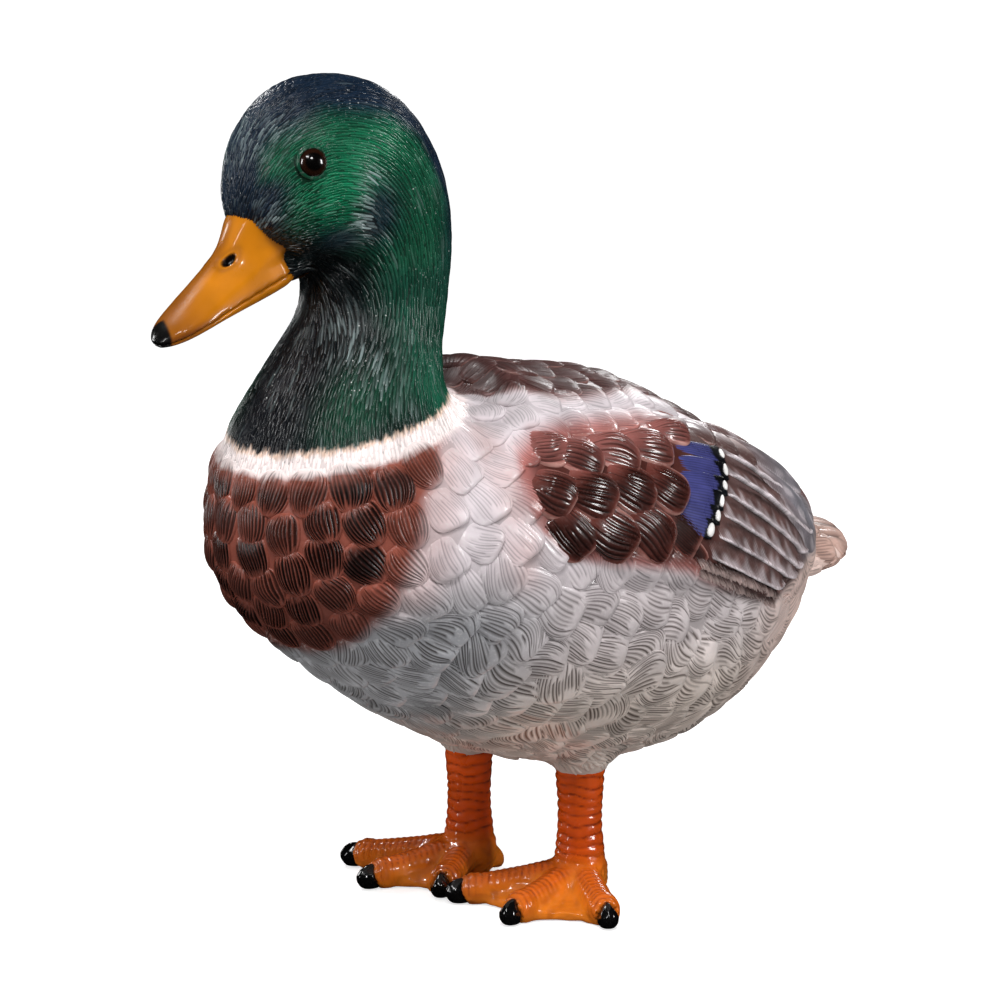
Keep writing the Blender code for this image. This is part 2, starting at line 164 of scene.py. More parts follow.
# ------------------------------------------------------------------ surfaces
def mesh_arrays(data):
    points = np.empty(len(data.vertices) * 3, np.float32)
    data.vertices.foreach_get("co", points)
    data.calc_loop_triangles()
    faces = np.empty(len(data.loop_triangles) * 3, np.int32)
    data.loop_triangles.foreach_get("vertices", faces)
    return points.reshape(-1, 3).astype(float) / MM, faces.reshape(-1, 3)


def put_points(data, points):
    """Moves the mesh's points to those places."""
    data.vertices.foreach_set("co", (points * MM).astype(np.float32).ravel())
    data.update()


def smooth_normals(points, faces):
    corners = points[faces]
    normal = np.cross(corners[:, 1] - corners[:, 0], corners[:, 2] - corners[:, 0])
    total = np.zeros_like(points)
    for i in range(3):
        np.add.at(total, faces[:, i], normal)
    return unit(total)


class Ground:
    """A surface that things are laid on."""

    def __init__(self, data):
        self.points, self.faces = mesh_arrays(data)
        self.normals = smooth_normals(self.points, self.faces)
        self.tree = BVHTree.FromPolygons(self.points.tolist(), self.faces.tolist())

    def blended(self, places, index):
        """The smooth normals at places on those faces."""
        a, b, c = (self.points[self.faces[index, i]] for i in range(3))
        whole = np.linalg.norm(np.cross(b - a, c - a), axis=1)
        share_a = np.linalg.norm(np.cross(b - places, c - places), axis=1) / whole
        share_b = np.linalg.norm(np.cross(c - places, a - places), axis=1) / whole
        shares = (share_a, share_b, 1 - share_a - share_b)
        return unit(sum(self.normals[self.faces[index, i]] * shares[i][:, None] for i in range(3)))

    def laid(self, places):
        """The nearest surface place to each place, and the normal there."""
        flat = places.reshape(-1, 3)
        spots = np.empty_like(flat)
        index = np.empty(len(flat), int)
        for i, place in enumerate(flat.tolist()):
            spot, _, face, _ = self.tree.find_nearest(place)
            spots[i] = spot
            index[i] = face
        return spots.reshape(places.shape), self.blended(spots, index).reshape(places.shape)

    def struck(self, starts, ways):
        """Where rays from inside leave the surface.  Rays that miss give nan."""
        spots = np.full((len(starts), 3), np.nan)
        for i, (start, way) in enumerate(zip(starts.tolist(), ways.tolist())):
            spot = self.tree.ray_cast(start, way)[0]
            if spot is not None:
                spots[i] = spot
        return spots


def middle_of(node):
    """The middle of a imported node's box."""
    return np.array(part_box(node)).mean(0) / MM


def written(name, mesh):
    """New mesh data made from an edit mesh, which it frees."""
    data = bpy.data.meshes.new(name)
    mesh.to_mesh(data)
    mesh.free()
    return data


def packed(name):
    """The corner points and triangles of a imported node, welded."""
    mesh = bmesh.new()
    mesh.from_mesh(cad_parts[name].data)
    bmesh.ops.remove_doubles(mesh, verts=mesh.verts, dist=0.00001)
    data = written(name, mesh)
    points, faces = mesh_arrays(data)
    bpy.data.meshes.remove(data)
    return points, faces


def fine_skin(name, nodes, voxel, smoothing, inset):
    """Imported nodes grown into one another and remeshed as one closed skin, which lies inset inside them.
    nodes maps a node's name to how much it is grown first."""
    points, faces, count = [], [], 0
    for node, grown in nodes.items():
        own, own_faces = packed(node)
        points.append(own + smooth_normals(own, own_faces) * grown)
        faces.append(own_faces + count)
        count += len(own)
    data = bpy.data.meshes.new(name)
    data.from_pydata((np.vstack(points) * MM).tolist(), [], np.vstack(faces).tolist())
    thing = bpy.data.objects.new(name, data)
    bpy.context.scene.collection.objects.link(thing)
    grid = thing.modifiers.new("remesh", "REMESH")
    grid.mode = "VOXEL"
    grid.voxel_size = voxel * MM
    ease = thing.modifiers.new("ease", "SMOOTH")
    ease.factor = 0.5
    ease.iterations = smoothing
    bpy.context.view_layer.update()
    made = bpy.data.meshes.new_from_object(thing.evaluated_get(bpy.context.evaluated_depsgraph_get()))
    bpy.data.objects.remove(thing)
    keep_largest(made)
    points, faces = mesh_arrays(made)
    put_points(made, points - smooth_normals(points, faces) * inset)
    return made


def keep_largest(data):
    """Drops all but the largest connected body of the mesh."""
    mesh = bmesh.new()
    mesh.from_mesh(data)
    loose, best = set(mesh.verts), []
    while loose:
        body, edge = set(), {loose.pop()}
        while edge:
            body |= edge
            edge = {link.other_vert(vertex) for vertex in edge for link in vertex.link_edges} - body
        loose -= body
        if len(body) > len(best):
            best = body
    bmesh.ops.delete(mesh, geom=[vertex for vertex in mesh.verts if vertex not in best], context="VERTS")
    mesh.to_mesh(data)
    mesh.free()


def piece(name, data, finish, replaced=()):
    """The mesh as a piece of the figure."""
    data.materials.clear()
    data.materials.append(finish)
    data.shade_smooth()
    thing = bpy.data.objects.new(name, data)
    bpy.context.scene.collection.objects.link(thing)
    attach(thing, "root")
    if replaced:
        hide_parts(*replaced)
    return thing


def painted(data, colours, groove=None):
    """Gives each vertex its colour, and how deep in a groove it is."""
    layer = data.attributes.new("paint", "FLOAT_COLOR", "POINT")
    opaque = np.column_stack([colours, np.ones(len(colours))])
    layer.data.foreach_set("color", opaque.astype(np.float32).ravel())
    layer = data.attributes.new("groove", "FLOAT", "POINT")
    layer.data.foreach_set("value", (np.zeros(len(colours)) if groove is None else groove).astype(np.float32))


# ------------------------------------------------------------------ the paint scheme
GREEN, BRIGHT, DEEP = rgb(22, 84, 60), rgb(12, 120, 80), rgb(20, 58, 50)
NAVY, BLACK = rgb(22, 31, 52), rgb(12, 14, 19)
COLLAR, COLLAR_EDGE = rgb(252, 238, 236), rgb(214, 176, 146)
BREAST, BREAST_DARK = rgb(152, 82, 67), rgb(46, 24, 22)
PALE, PALE_LOW = rgb(211, 201, 205), rgb(206, 196, 197)
BLUSH = rgb(214, 160, 150)
SLATE, BELLY, TAN = rgb(166, 169, 174), rgb(212, 198, 188), rgb(240, 212, 202)
BACK_DARK, BACK_RED = rgb(84, 54, 52), rgb(150, 90, 82)
COVERT, COVERT_RED, COVERT_EDGE = rgb(112, 58, 50), rgb(170, 106, 100), rgb(206, 156, 146)
BLUE, DAB = rgb(70, 72, 132), rgb(248, 246, 244)
QUILL, QUILL_RIM = rgb(124, 92, 88), rgb(216, 206, 210)
TERTIAL, TAIL_TONE = rgb(124, 121, 128), rgb(192, 158, 146)


def dabbed(forward, height, ahead, up, wide, tall):
    """1 at a place seen from the side, fading to 0 over wide and tall round it."""
    return np.exp(-(((forward - ahead) / wide) ** 2 + ((height - up) / tall) ** 2))


def collar_depth(out, forward, height):
    """How far below the collar's upper edge a place is."""
    return 181 + 0.27 * (126 - forward) - height


WING_FRONT = 65
WING_LOW = ([-128, -110, -90, -75, -66, -59, -30, -7, 0, 20, 35, 50, 58, 65],
            [126, 126, 125.5, 121.5, 117.5, 112, 119, 129.5, 133, 137, 140, 143, 150, 160])
WING_HIGH = ([-128, -100, -85, -60, -26, -7, 37, 50, 60, 65],
             [120, 146, 155, 167, 181, 184, 185.5, 184, 178, 170])


def head_paint(out, forward, height):
    side = abs(out)
    tone = np.tile(GREEN, (len(out), 1))
    tone = mixed(tone, BRIGHT, 0.85 * dabbed(forward, height, 106, 266, 15, 13))
    tone = mixed(tone, BRIGHT, 0.5 * dabbed(forward, height, 90, 282, 16, 8))
    patch = np.maximum(dabbed(forward, height, 92, 259, 8, 11),
                       0.9 * dabbed(forward, height, 104, 251, 11, 6))
    tone = mixed(tone, NAVY, 0.85 * np.clip(patch * 1.3, 0, 1))
    edge = np.interp(forward, [60, 73, 85, 108, 123, 131], [262, 283, 291, 293, 284, 272])
    crown = smooth(height, edge - 5, edge + 5)
    front = smooth(forward - 0.25 * side, 118, 126) * smooth(22 - side, 0, 10)
    lore = smooth(forward, 117, 125) * smooth(273 - height, -3, 6)
    nape = smooth(80 - forward - 0.25 * side, 0, 14) * smooth(26 - side, -4, 14) * smooth(height, 214, 262)
    tone = mixed(tone, NAVY, np.maximum.reduce([crown, front, lore, nape]) * 0.95)
    throat = smooth(256 - height - 0.35 * (110 - forward), 0, 9) * smooth(forward, 82, 96)
    neck = smooth(246 - height, 0, 10)
    front_neck = smooth(forward, 92, 108)
    tone = mixed(tone, DEEP, 0.55 * neck)
    tone = mixed(tone, NAVY * 0.8, 0.85 * neck * front_neck * smooth(22 - side, -6, 10))
    tone = mixed(tone, BLACK, np.maximum(throat, neck * smooth(height, 222, 236) * front_neck) * 0.95)
    return mixed(tone, GREEN * 1.1, 0.6 * dabbed(side, height, 30, 196, 9, 14) * neck)


BREAST_EDGE = ([100, 112, 125, 142, 153, 166, 175, 190], [118, 113, 110, 106, 103, 99, 91, 86])


def breast_border(height):
    """How far ahead the breast's brown starts at each height."""
    return np.interp(height, *BREAST_EDGE)


def body_paint(out, forward, height):
    side = abs(out)
    tone = mixed(np.tile(PALE, (len(out), 1)), PALE_LOW, smooth(150 - height, 0, 34))
    tone = mixed(tone, BELLY, smooth(118 - height, 0, 40))
    tone = mixed(tone, SLATE, 0.85 * smooth(forward, 40, 84) * smooth(146 - height, 0, 26))
    tone = mixed(tone, TAN, smooth(-forward, 34, 84))
    rear = smooth(-forward, 84, 94) * smooth(forward, -116, -106)
    tone = mixed(tone, TERTIAL, 0.9 * rear * smooth(side, 24, 40) * smooth(height, 122, 132))
    edge = np.interp(forward, [-60, -37, -28, 0, 32, 45, 50], [40, 29, 27, 35, 39, 32, 16])
    dark = smooth(edge - side, -3, 4) * smooth(height, 132, 150) * smooth(54 - forward, 0, 5)
    red = smooth(edge + 1 - side, -4, 4) * smooth(height, 132, 150) * smooth(56 - forward, 0, 5)
    tone = mixed(mixed(tone, BACK_RED, 0.85 * red), BACK_DARK, dark)
    border = breast_border(height)
    brown = smooth(forward - border, -4, 3) * smooth(height, 98, 116)
    at_wing = np.exp(-((forward - WING_FRONT - 3) / 7) ** 2)
    at_wing = at_wing * smooth(height, 128, 142) * smooth(192 - height, 0, 8)
    blush = np.maximum(smooth(forward - border, -18, -4) * smooth(height, 120, 136), at_wing)
    uneven = np.clip(1 + 0.6 * cloudy(np.stack([out, forward, height], 1), 16, 7), 0, 1)
    tone = mixed(tone, BLUSH, 0.32 * blush * uneven)
    return mixed(tone, BREAST * (1 - 0.45 * smooth(142 - height, 0, 34))[:, None], brown), brown


def wing_paint(out, forward, height):
    """The colour of the folded wing's ground, and how much of it shows."""
    low, high = np.interp(forward, *WING_LOW), np.interp(forward, *WING_HIGH)
    share = smooth(np.minimum(height - low, (high - height) * 0.7), -2.5, 2.5)
    share = share * smooth(WING_FRONT - forward, -5, 5) * smooth(abs(out), 18, 26)
    share = share * smooth(forward, -100, -93)
    inner = np.minimum.reduce([high - height, (WING_FRONT - forward) * 0.8, height - low + 3])
    tone = mixed(np.tile(COVERT_RED, (len(out), 1)), COVERT * 0.55, smooth(inner, 2, 10))
    tone = mixed(tone, QUILL * 0.55, smooth(-forward, 4, 30))
    return mixed(tone, TERTIAL, smooth(-forward, 66, 96)), share


def ground_paint(places):
    """The sprayed ground colour at each place, and how much of the breast's brown is in it."""
    out, forward, height = straightened(places)
    body, brown = body_paint(out, forward, height)
    wing, share = wing_paint(out, forward, height)
    body = mixed(body, wing, share)
    streaks = places * [1.0, 1.0, 0.25]
    depth = collar_depth(out, forward, height) + 0.5 * cloudy(streaks, 2.2, 3) + 0.5 * cloudy(streaks, 5.5, 4)
    white = smooth(8.6 - depth, 0, 2.4) * smooth(forward, 44, 60)
    body = mixed(body, COLLAR, white)
    body = mixed(body, COLLAR_EDGE, 0.7 * smooth(1.2 - abs(depth - 0.4), 0, 0.8) * smooth(forward, 44, 60))
    tone = mixed(head_paint(out, forward, height), body, smooth(depth, -0.25, 0.25))
    brown = brown * (1 - white)
    return tone * (1 + 0.10 * cloudy(places, 23, 1) + 0.05 * cloudy(places, 7, 2))[:, None], brown


# ------------------------------------------------------------------ materials
class Nodes:
    """A short way to write a node tree."""

    def __init__(self, name):
        self.finish = bpy.data.materials.new(name)
        self.finish.use_nodes = True
        self.tree = self.finish.node_tree
        self.shader = self.tree.nodes["Principled BSDF"]

    def add(self, kind, inputs=None, **settings):
        """A node whose inputs are linked where they are given a socket, and set where they aren't."""
        node = self.tree.nodes.new(kind)
        for key, value in settings.items():
            setattr(node, key, value)
        for key, value in (inputs or {}).items():
            if isinstance(value, bpy.types.NodeSocket):
                self.tree.links.new(value, node.inputs[key])
            else:
                node.inputs[key].default_value = value
        return node

    def mix(self, share, first, second, blend="MIX"):
        return self.add("ShaderNodeMix", {0: share, 6: first, 7: second}, data_type="RGBA",
                        blend_type=blend).outputs[2]

    def times(self, first, second):
        return self.add("ShaderNodeMath", {0: first, 1: second}, operation="MULTIPLY").outputs[0]

    def span(self, value, low, high, to_low, to_high):
        return self.add("ShaderNodeMapRange", {"Value": value, "From Min": low, "From Max": high,
                                               "To Min": to_low, "To Max": to_high}).outputs[0]

    def link(self, source, name):
        self.tree.links.new(source, self.shader.inputs[name])


def resin(name, roughness, coat, speckle=0.0, grain=0.12, wash=0.25, brush=0.2, clear=0.18, relief=0.25,
          shine=0.5):
    """Sprayed and brushed paint over cast resin: colour from the paint attribute, broken by soft noise, with
    a wash in the grooves, a dry brush over the ridges and pale specks that are partly overspray and partly
    painted glints."""
    nodes = Nodes(name)
    place = nodes.add("ShaderNodeTexCoord").outputs["Object"]
    tone = nodes.add("ShaderNodeAttribute", attribute_name="paint").outputs["Color"]
    groove = nodes.add("ShaderNodeAttribute", attribute_name="groove").outputs["Fac"]
    blotch = nodes.add("ShaderNodeTexNoise", {"Vector": place, "Scale": 90.0, "Detail": 5.0}).outputs["Fac"]
    fine = nodes.add("ShaderNodeTexNoise", {"Vector": place, "Scale": 900.0, "Detail": 3.0}).outputs["Fac"]
    shade = nodes.span(blotch, 0.3, 0.7, 1 - grain, 1 + grain)
    grey = nodes.add("ShaderNodeCombineColor", {0: shade, 1: shade, 2: shade}).outputs[0]
    tone = nodes.mix(1.0, tone, grey, "MULTIPLY")
    tone = nodes.mix(nodes.span(groove, 0.45, 1.0, 0.0, wash), tone, (0.012, 0.008, 0.007, 1))
    worn = nodes.times(nodes.span(groove, 0.25, 0.0, 0.0, 1.0), nodes.span(fine, 0.52, 0.66, 0.0, brush))
    tone = nodes.mix(worn, tone, (0.72, 0.70, 0.68, 1))
    # pale specks: partly overspray, partly painted glints on the gloss
    if speckle:
        dots = nodes.add("ShaderNodeTexVoronoi", {"Vector": place, "Scale": 420.0}).outputs["Distance"]
        rare = nodes.add("ShaderNodeTexNoise", {"Vector": place, "Scale": 55.0, "Detail": 1.0}).outputs["Fac"]
        dot = nodes.times(nodes.span(dots, 0.13, 0.06, 0.0, 1.0), nodes.span(rare, 0.56, 0.66, 0.0, speckle))
        tone = nodes.mix(dot, tone, (0.75, 0.78, 0.76, 1))
    nodes.link(tone, "Base Color")
    nodes.link(nodes.span(blotch, 0.3, 0.7, roughness - 0.07, roughness + 0.08), "Roughness")
    nodes.shader.inputs["Coat Weight"].default_value = coat
    nodes.shader.inputs["Coat Roughness"].default_value = clear
    nodes.shader.inputs["Specular IOR Level"].default_value = shine
    bump = nodes.add("ShaderNodeBump", {"Height": fine, "Strength": relief, "Distance": 0.0002})
    nodes.link(bump.outputs[0], "Normal")
    return nodes.finish


# ------------------------------------------------------------------ modelled feathers
def walked(ground, homes, ways, lengths, rows, droop, curl):
    """The shaft of each feather: rows + 1 places on the ground through its home, root first, with the
    normals and the directions there.  curl is how closely it keeps to the lie of the coat."""
    lines = {}
    _, normals = ground.laid(homes)
    for sign in (-1, 1):
        place, way = homes, ways
        for step in range(1, rows // 2 + 1):
            place, normal = ground.laid(place + way * (sign * lengths / rows)[:, None])
            turn = lie(place, normal, droop)
            way = way * (1 - curl) + turn * curl
            way = unit(way - normal * (way * normal).sum(1, keepdims=True))
            lines[sign * step] = (place, normal, way)
    lines[0] = (homes, normals, ways)
    order = sorted(lines)
    return tuple(np.stack([lines[i][k] for i in order], 1) for k in range(3))


def ridged(across, ridges, sharp):
    """Depth of the grooves between that many ridges, from 0 on a ridge to 1 in a groove."""
    phase = (across * 0.5 + 0.5) * ridges
    return 1 - np.abs(np.sin(math.pi * phase)) ** sharp


def feathers(name, ground, homes, ways, lengths, widths, shape, tint, finish):
    """Closed plates of mesh laid on the ground, joined into one piece.
    homes: where their middles are; ways: where they point; shape: their relief; tint: their colour."""
    form = dict(rows=10, ridges=9, per_ridge=3, rise=1.2, root=-0.3, lift=0.4, groove=0.4, sink=0.8,
                outline="oval", flat=2.4, droop=0.0, curl=0.0, wild=0.3, crest=0.0, sharp=0.8, bow=0.0,
                slant=0.0, barbs=0, mirror=1, uneven=0.0, nicks=0.0, blunt=0.8)
    form.update(shape)
    count, rows = len(homes), form["rows"] + form["rows"] % 2
    columns = form["ridges"] * form["per_ridge"] if form["ridges"] else form["per_ridge"]
    spots, normals, turns = walked(ground, homes, ways, lengths, rows, form["droop"], form["curl"])
    # rows + 1 shaft places become finer rows with a steep rim at each end
    inner = np.linspace(-1, 1, columns + 1)
    across = np.concatenate([[-1.0], inner * 0.96, [1.0]])
    ahead = np.linspace(0, 1, rows + 1)
    if form["outline"] == "oval":
        ahead = 0.5 - 0.5 * np.cos(math.pi * ahead)
        wide = (1 - np.abs(2 * ahead.clip(0.015, 0.985) ** 0.9 - 1) ** 2.3) ** 0.5
        wide = wide * (0.92 + 0.16 * (1 - ahead))
    elif form["outline"] == "tile":
        wide = 0.60 + 0.40 * np.sin(math.pi * (0.10 + 0.62 * ahead))
        wide = wide * np.sqrt(np.clip(1 - ((ahead - 0.62) / 0.385) ** 3 * (ahead > 0.62), 0.03, 1))
    elif form["outline"] == "long":
        round_end = (ahead - form["blunt"]) / (1.005 - form["blunt"])
        wide = np.minimum(1, 0.72 + 0.5 * ahead)
        wide = wide * np.sqrt(np.clip(1 - round_end ** 2 * (round_end > 0), 0.04, 1))
    else:
        wide = np.sin(math.pi * (0.06 + 0.88 * ahead)) ** 0.55
    shaft_at = np.linspace(0, 1, rows + 1)

    def read(values):
        """Shaft values at the chosen places ahead."""
        at = np.interp(ahead, shaft_at, np.arange(rows + 1))
        low = np.minimum(at.astype(int), rows - 1)
        share = (at - low)[None, :, None]
        return values[:, low] * (1 - share) + values[:, low + 1] * share

    spots, normals, turns = read(spots), unit(read(normals)), unit(read(turns))
    sides = unit(np.cross(turns, normals))
    bend = RNG.uniform(-form["bow"], form["bow"], (2, count, 1, 1))
    swing = bend[0] * np.sin(math.pi * ahead)[None, :, None] + bend[1] * (2 * ahead - 1)[None, :, None]
    warped = across[None, None, :] + swing * (1 - across ** 2)[None, None, :]
    if form["uneven"]:
        grooves = np.arange(form["ridges"] + 1)
        near = np.clip(1 - abs(np.linspace(0, form["ridges"], columns + 1)[:, None] - grooves), 0, 1)
        near[:, [0, -1]] = 0
        moved = RNG.uniform(-1, 1, (2, count, len(grooves))) @ near.T * form["uneven"] / form["ridges"]
        moved = np.pad(moved, ((0, 0), (0, 0), (1, 1)))[:, :, None]
        warped = warped + moved[0] + moved[1] * (2 * ahead - 1)[None, :, None]
    reach = widths[:, None, None] * wide[None, :, None] * warped
    if form["nicks"]:
        reach = reach * (1 - form["nicks"] * RNG.uniform(0, 1, (count, rows + 1, 1)) * abs(across) ** 3)
    plan = spots[:, :, None] + sides[:, :, None] * reach[..., None]
    if form["slant"]:
        plan = plan + turns[:, :, None] * (form["slant"] * form["mirror"] * reach)[..., None]
    base, upright = ground.laid(plan)

    u = np.broadcast_to(across[None, None, :] * form["mirror"], reach.shape)
    v = np.broadcast_to(ahead[None, :, None], reach.shape)
    dome = (1 - np.abs(u) ** form["flat"]) * np.sin(math.pi * np.clip(v, 0.02, 0.98)) ** 0.6
    height = form["root"] + (form["lift"] - form["root"]) * v ** 1.3
    height = height + form["rise"] * dome * RNG.uniform(0.8, 1.15, (count, 1, 1))
    if form["crest"]:
        ripple = 1 + 0.22 * cloudy(base.reshape(-1, 3), 5, 31).reshape(u.shape)
        crest = 0.45 * (u + 1) / 2 + 0.55 * smooth(u, 0.35, 0.93)
        height = height + form["crest"] * crest * smooth(v, 0.0, 0.1) * ripple
    if form["ridges"]:
        start = RNG.uniform(0, 0.25, (count, 1, len(across))) * form["wild"] * 2
        stop = 1 - RNG.uniform(0, 0.2, (count, 1, len(across))) * form["wild"] * 2
        cut = ridged(u / 0.96, form["ridges"], form["sharp"])
        cut = cut * smooth(v, start, start + 0.08) * smooth(stop - v, 0, 0.08)
        cut = cut * (1 + form["wild"] * 0.5 * RNG.uniform(-1, 1, (count, 1, len(across))))
        cut = np.clip(cut, 0, 1)
    elif form["barbs"]:
        worn = RNG.uniform(0, 1, (count, len(ahead), 1))
        cut = ridged(2 * v - 1, form["barbs"], form["sharp"]) * (1 - 0.5 * form["wild"] * worn)
    else:
        cut = 0.8 * np.abs(u) ** 2
    height = height - form["groove"] * cut * (form["ridges"] + form["barbs"] > 0)
    rim = np.zeros(reach.shape, bool)
    rim[:, :, 0] = rim[:, :, -1] = True
    rim[:, 0] = rim[:, -1] = True
    height = np.where(rim, -form["sink"], height)
    points = base + upright * height[..., None]
    middle = (slice(None), rows // 2, len(across) // 2)
    bottom = points[middle] - upright[middle] * (height[middle] + form["sink"])[:, None]
    made = np.concatenate([points.reshape(count, -1, 3), bottom[:, None]], 1)
    colours = tint(base, u, v, cut, rim)
    colours = np.concatenate([colours.reshape(count, -1, 3), colours[:, 0, :1]], 1)
    grooves = np.concatenate([np.where(rim, 1.0, cut).reshape(count, -1), np.ones((count, 1))], 1)

    wide_count = len(across)
    grid = np.arange((rows + 1) * wide_count).reshape(rows + 1, wide_count)
    quads = np.stack([grid[:-1, :-1], grid[:-1, 1:], grid[1:, 1:], grid[1:, :-1]], -1).reshape(-1, 4)
    loop = np.concatenate([grid[0, :-1], grid[:-1, -1], grid[-1, :0:-1], grid[:0:-1, 0]])
    fan = np.stack([np.full(len(loop), grid.size), np.roll(loop, -1), loop], -1)
    step = (np.arange(count) * (grid.size + 1))[:, None, None]
    quads, fans = (quads[None] + step).reshape(-1, 4), (fan[None] + step).reshape(-1, 3)
    data = bpy.data.meshes.new(name)
    fill(data, made.reshape(-1, 3), quads, fans)
    painted(data, colours.reshape(-1, 3), grooves.ravel())
    inside = np.stack([np.concatenate([(u[0] * 0.5 + 0.5).ravel(), [0.5]]),
                       np.concatenate([v[0].ravel(), [0.0]])], -1)
    bake_map(data, homes, inside)
    return piece(name, data, finish)


def fill(data, points, quads, triangles):
    """Writes the mesh in one go."""
    loops = np.concatenate([quads.ravel(), triangles.ravel()])
    starts = np.concatenate([np.arange(len(quads)) * 4, 4 * len(quads) + np.arange(len(triangles)) * 3])
    data.vertices.add(len(points))
    data.vertices.foreach_set("co", (points * MM).astype(np.float32).ravel())
    data.loops.add(len(loops))
    data.loops.foreach_set("vertex_index", loops.astype(np.int32))
    data.polygons.add(len(starts))
    data.polygons.foreach_set("loop_start", starts.astype(np.int32))
    data.update(calc_edges=True)
    data.validate()


def bake_map(data, homes, inside):
    """The OFBake map: each feather is a patch at its root's place on the unwrapped skin, as large as its
    nearest neighbour there allows."""
    run, _ = along_body(homes)
    out, forward, height = straightened(homes)
    middle = np.stack([np.interp(run, MIDLINE_RUN, MIDLINE[:, i]) for i in range(2)], 1)
    way = np.stack([np.interp(run, MIDLINE_RUN, MIDLINE_WAY[:, i]) for i in range(2)], 1)
    rise = (height - middle[:, 1]) * way[:, 0] - (forward - middle[:, 0]) * way[:, 1]
    chart = np.stack([np.arctan2(out, rise), run], 1)
    chart = (chart - chart.min(0)) / np.maximum(np.ptp(chart, axis=0), 1e-6)
    chart = 0.04 + 0.92 * chart
    room = np.empty(len(chart))
    for i, place in enumerate(chart):
        far = np.abs(chart - place).max(1)
        far[i] = 1
        room[i] = far.min() if len(chart) > 1 else 0.9
    size = np.clip(room * 0.9, 0.0015, 0.07)
    spots = chart[:, None] + (inside[None] - 0.5) * size[:, None, None]
    spots = spots.reshape(-1, 2)
    vertex = np.empty(len(data.loops), np.int32)
    data.loops.foreach_get("vertex_index", vertex)
    layer = data.uv_layers.new(name="OFBake")
    layer.data.foreach_set("uv", spots[vertex].astype(np.float32).ravel())


def thinned(places, ways, normals, order, wide, long):
    """Keeps, in that order, the places that aren't too near one already kept.  wide and long are the
    spacings across and along the lie, one for each place."""
    order = np.argsort(order)
    places, ways, normals, wide, long = (values[order] for values in (places, ways, normals, wide, long))
    sides = np.cross(ways, normals)
    free = np.ones(len(places), bool)
    kept = []
    for i in range(len(places)):
        if not free[i]:
            continue
        kept.append(order[i])
        gap = places - places[i]
        near = ((gap @ sides[i]) / wide[i]) ** 2 + ((gap @ ways[i]) / long[i]) ** 2
        near += ((gap @ normals[i]) / wide[i]) ** 2 * 0.5
        free[near < 1] = False
    return np.array(kept)


def sown(ground, count, chosen, seed):
    """Random places spread over the part of the ground that chosen picks, with their normals."""
    rng = np.random.default_rng(seed)
    corners = ground.points[ground.faces]
    keep = chosen(corners.mean(1))
    faces, corners = ground.faces[keep], corners[keep]
    area = np.linalg.norm(np.cross(corners[:, 1] - corners[:, 0], corners[:, 2] - corners[:, 0]), axis=1)
    pick = rng.choice(len(faces), count, p=area / area.sum())
    a, b = rng.uniform(size=(2, count))
    a, b = np.where(a + b > 1, 1 - a, a), np.where(a + b > 1, 1 - b, b)
    share = np.stack([1 - a - b, a, b], 1)
    places = (corners[pick] * share[..., None]).sum(1)
    normals = unit((ground.normals[faces[pick]] * share[..., None]).sum(1))
    return places, normals


def spread(ground, places, wide, long, allowed, rounds=30):
    """Pushes places apart until they lie evenly.  wide and long give the spacings at given places."""
    places, normals = ground.laid(places)
    for _ in range(rounds):
        ways = lie(places, normals)
        sides = np.cross(ways, normals)
        across, along = wide(places), long(places)
        gap = places[None] - places[:, None]
        a = np.einsum("ijk,ik->ij", gap, sides) / across[:, None]
        b = np.einsum("ijk,ik->ij", gap, ways) / along[:, None]
        c = np.einsum("ijk,ik->ij", gap, normals) / across[:, None]
        far = np.sqrt(a * a + b * b + c * c)
        push = np.clip(1.25 - far, 0, None)
        np.fill_diagonal(push, 0)
        push = push / np.maximum(far, 0.05)
        move = (-(push * a).sum(1) * across)[:, None] * sides - ((push * b).sum(1) * along)[:, None] * ways
        size = np.linalg.norm(move, axis=1, keepdims=True)
        move *= 0.16 * np.minimum(1, 14 / np.maximum(size, 1e-6))
        fresh, fresh_normals = ground.laid(places + move)
        good = allowed(fresh)[:, None]
        places, normals = np.where(good, fresh, places), np.where(good, fresh_normals, normals)
    return places, normals


# ------------------------------------------------------------------ the skin
FLESH = ("trunk", "neck", "head", "wing_left", "wing_right", "tail", "thigh_left", "thigh_right")
SKIN_VOXEL, SKIN_EASE = 1.48, 7       # the remeshed skin's grid, and how many times it is smoothed


def whole_skin():
    """The flesh as one closed skin.  The eyes, the bill and the shanks are grown less, so that they stay
    under their own pieces."""
    nodes = dict.fromkeys(FLESH, 0.3)
    nodes |= {"eye_left": -0.9, "eye_right": -0.9, "bill_upper": -0.8, "bill_lower": -0.8}
    nodes |= {"shank_left": -0.4, "shank_right": -0.4}
    return fine_skin("skin", nodes, SKIN_VOXEL, SKIN_EASE, 0.3 + COAT)


BODY_FINISH = resin("painted_body_resin", 0.37, 0.4, grain=0.10, wash=0.30, brush=0.35, clear=0.13)
BACK_FINISH = resin("painted_back_resin", 0.42, 0.1, grain=0.14, wash=0.30, brush=0.06, shine=0.4)
BREAST_FINISH = resin("painted_breast_resin", 0.28, 0.15, grain=0.15, wash=0.35, brush=0.05, shine=0.4)
HEAD_FINISH = resin("painted_green_resin", 0.24, 0.15, speckle=0.9, grain=0.15, wash=0.5, brush=0.08,
                    clear=0.12, shine=0.45)
WING_FINISH = resin("painted_wing_resin", 0.30, 0.9, grain=0.2, wash=0.4, brush=0.03, clear=0.10, shine=0.4)
QUILL_FINISH = resin("painted_quill_resin", 0.34, 0.25, grain=0.2, wash=0.35, brush=0.2)
GLOSS_FINISH = resin("glossy_orange_enamel", 0.3, 0.9, grain=0.10, wash=0.1, brush=0.0, clear=0.09, shine=0.3)
SKIN_FINISH = resin("painted_ground_resin", 0.40, 0.15, grain=0.16, wash=0.35, brush=0.15, relief=0.7,
                    shine=0.35)
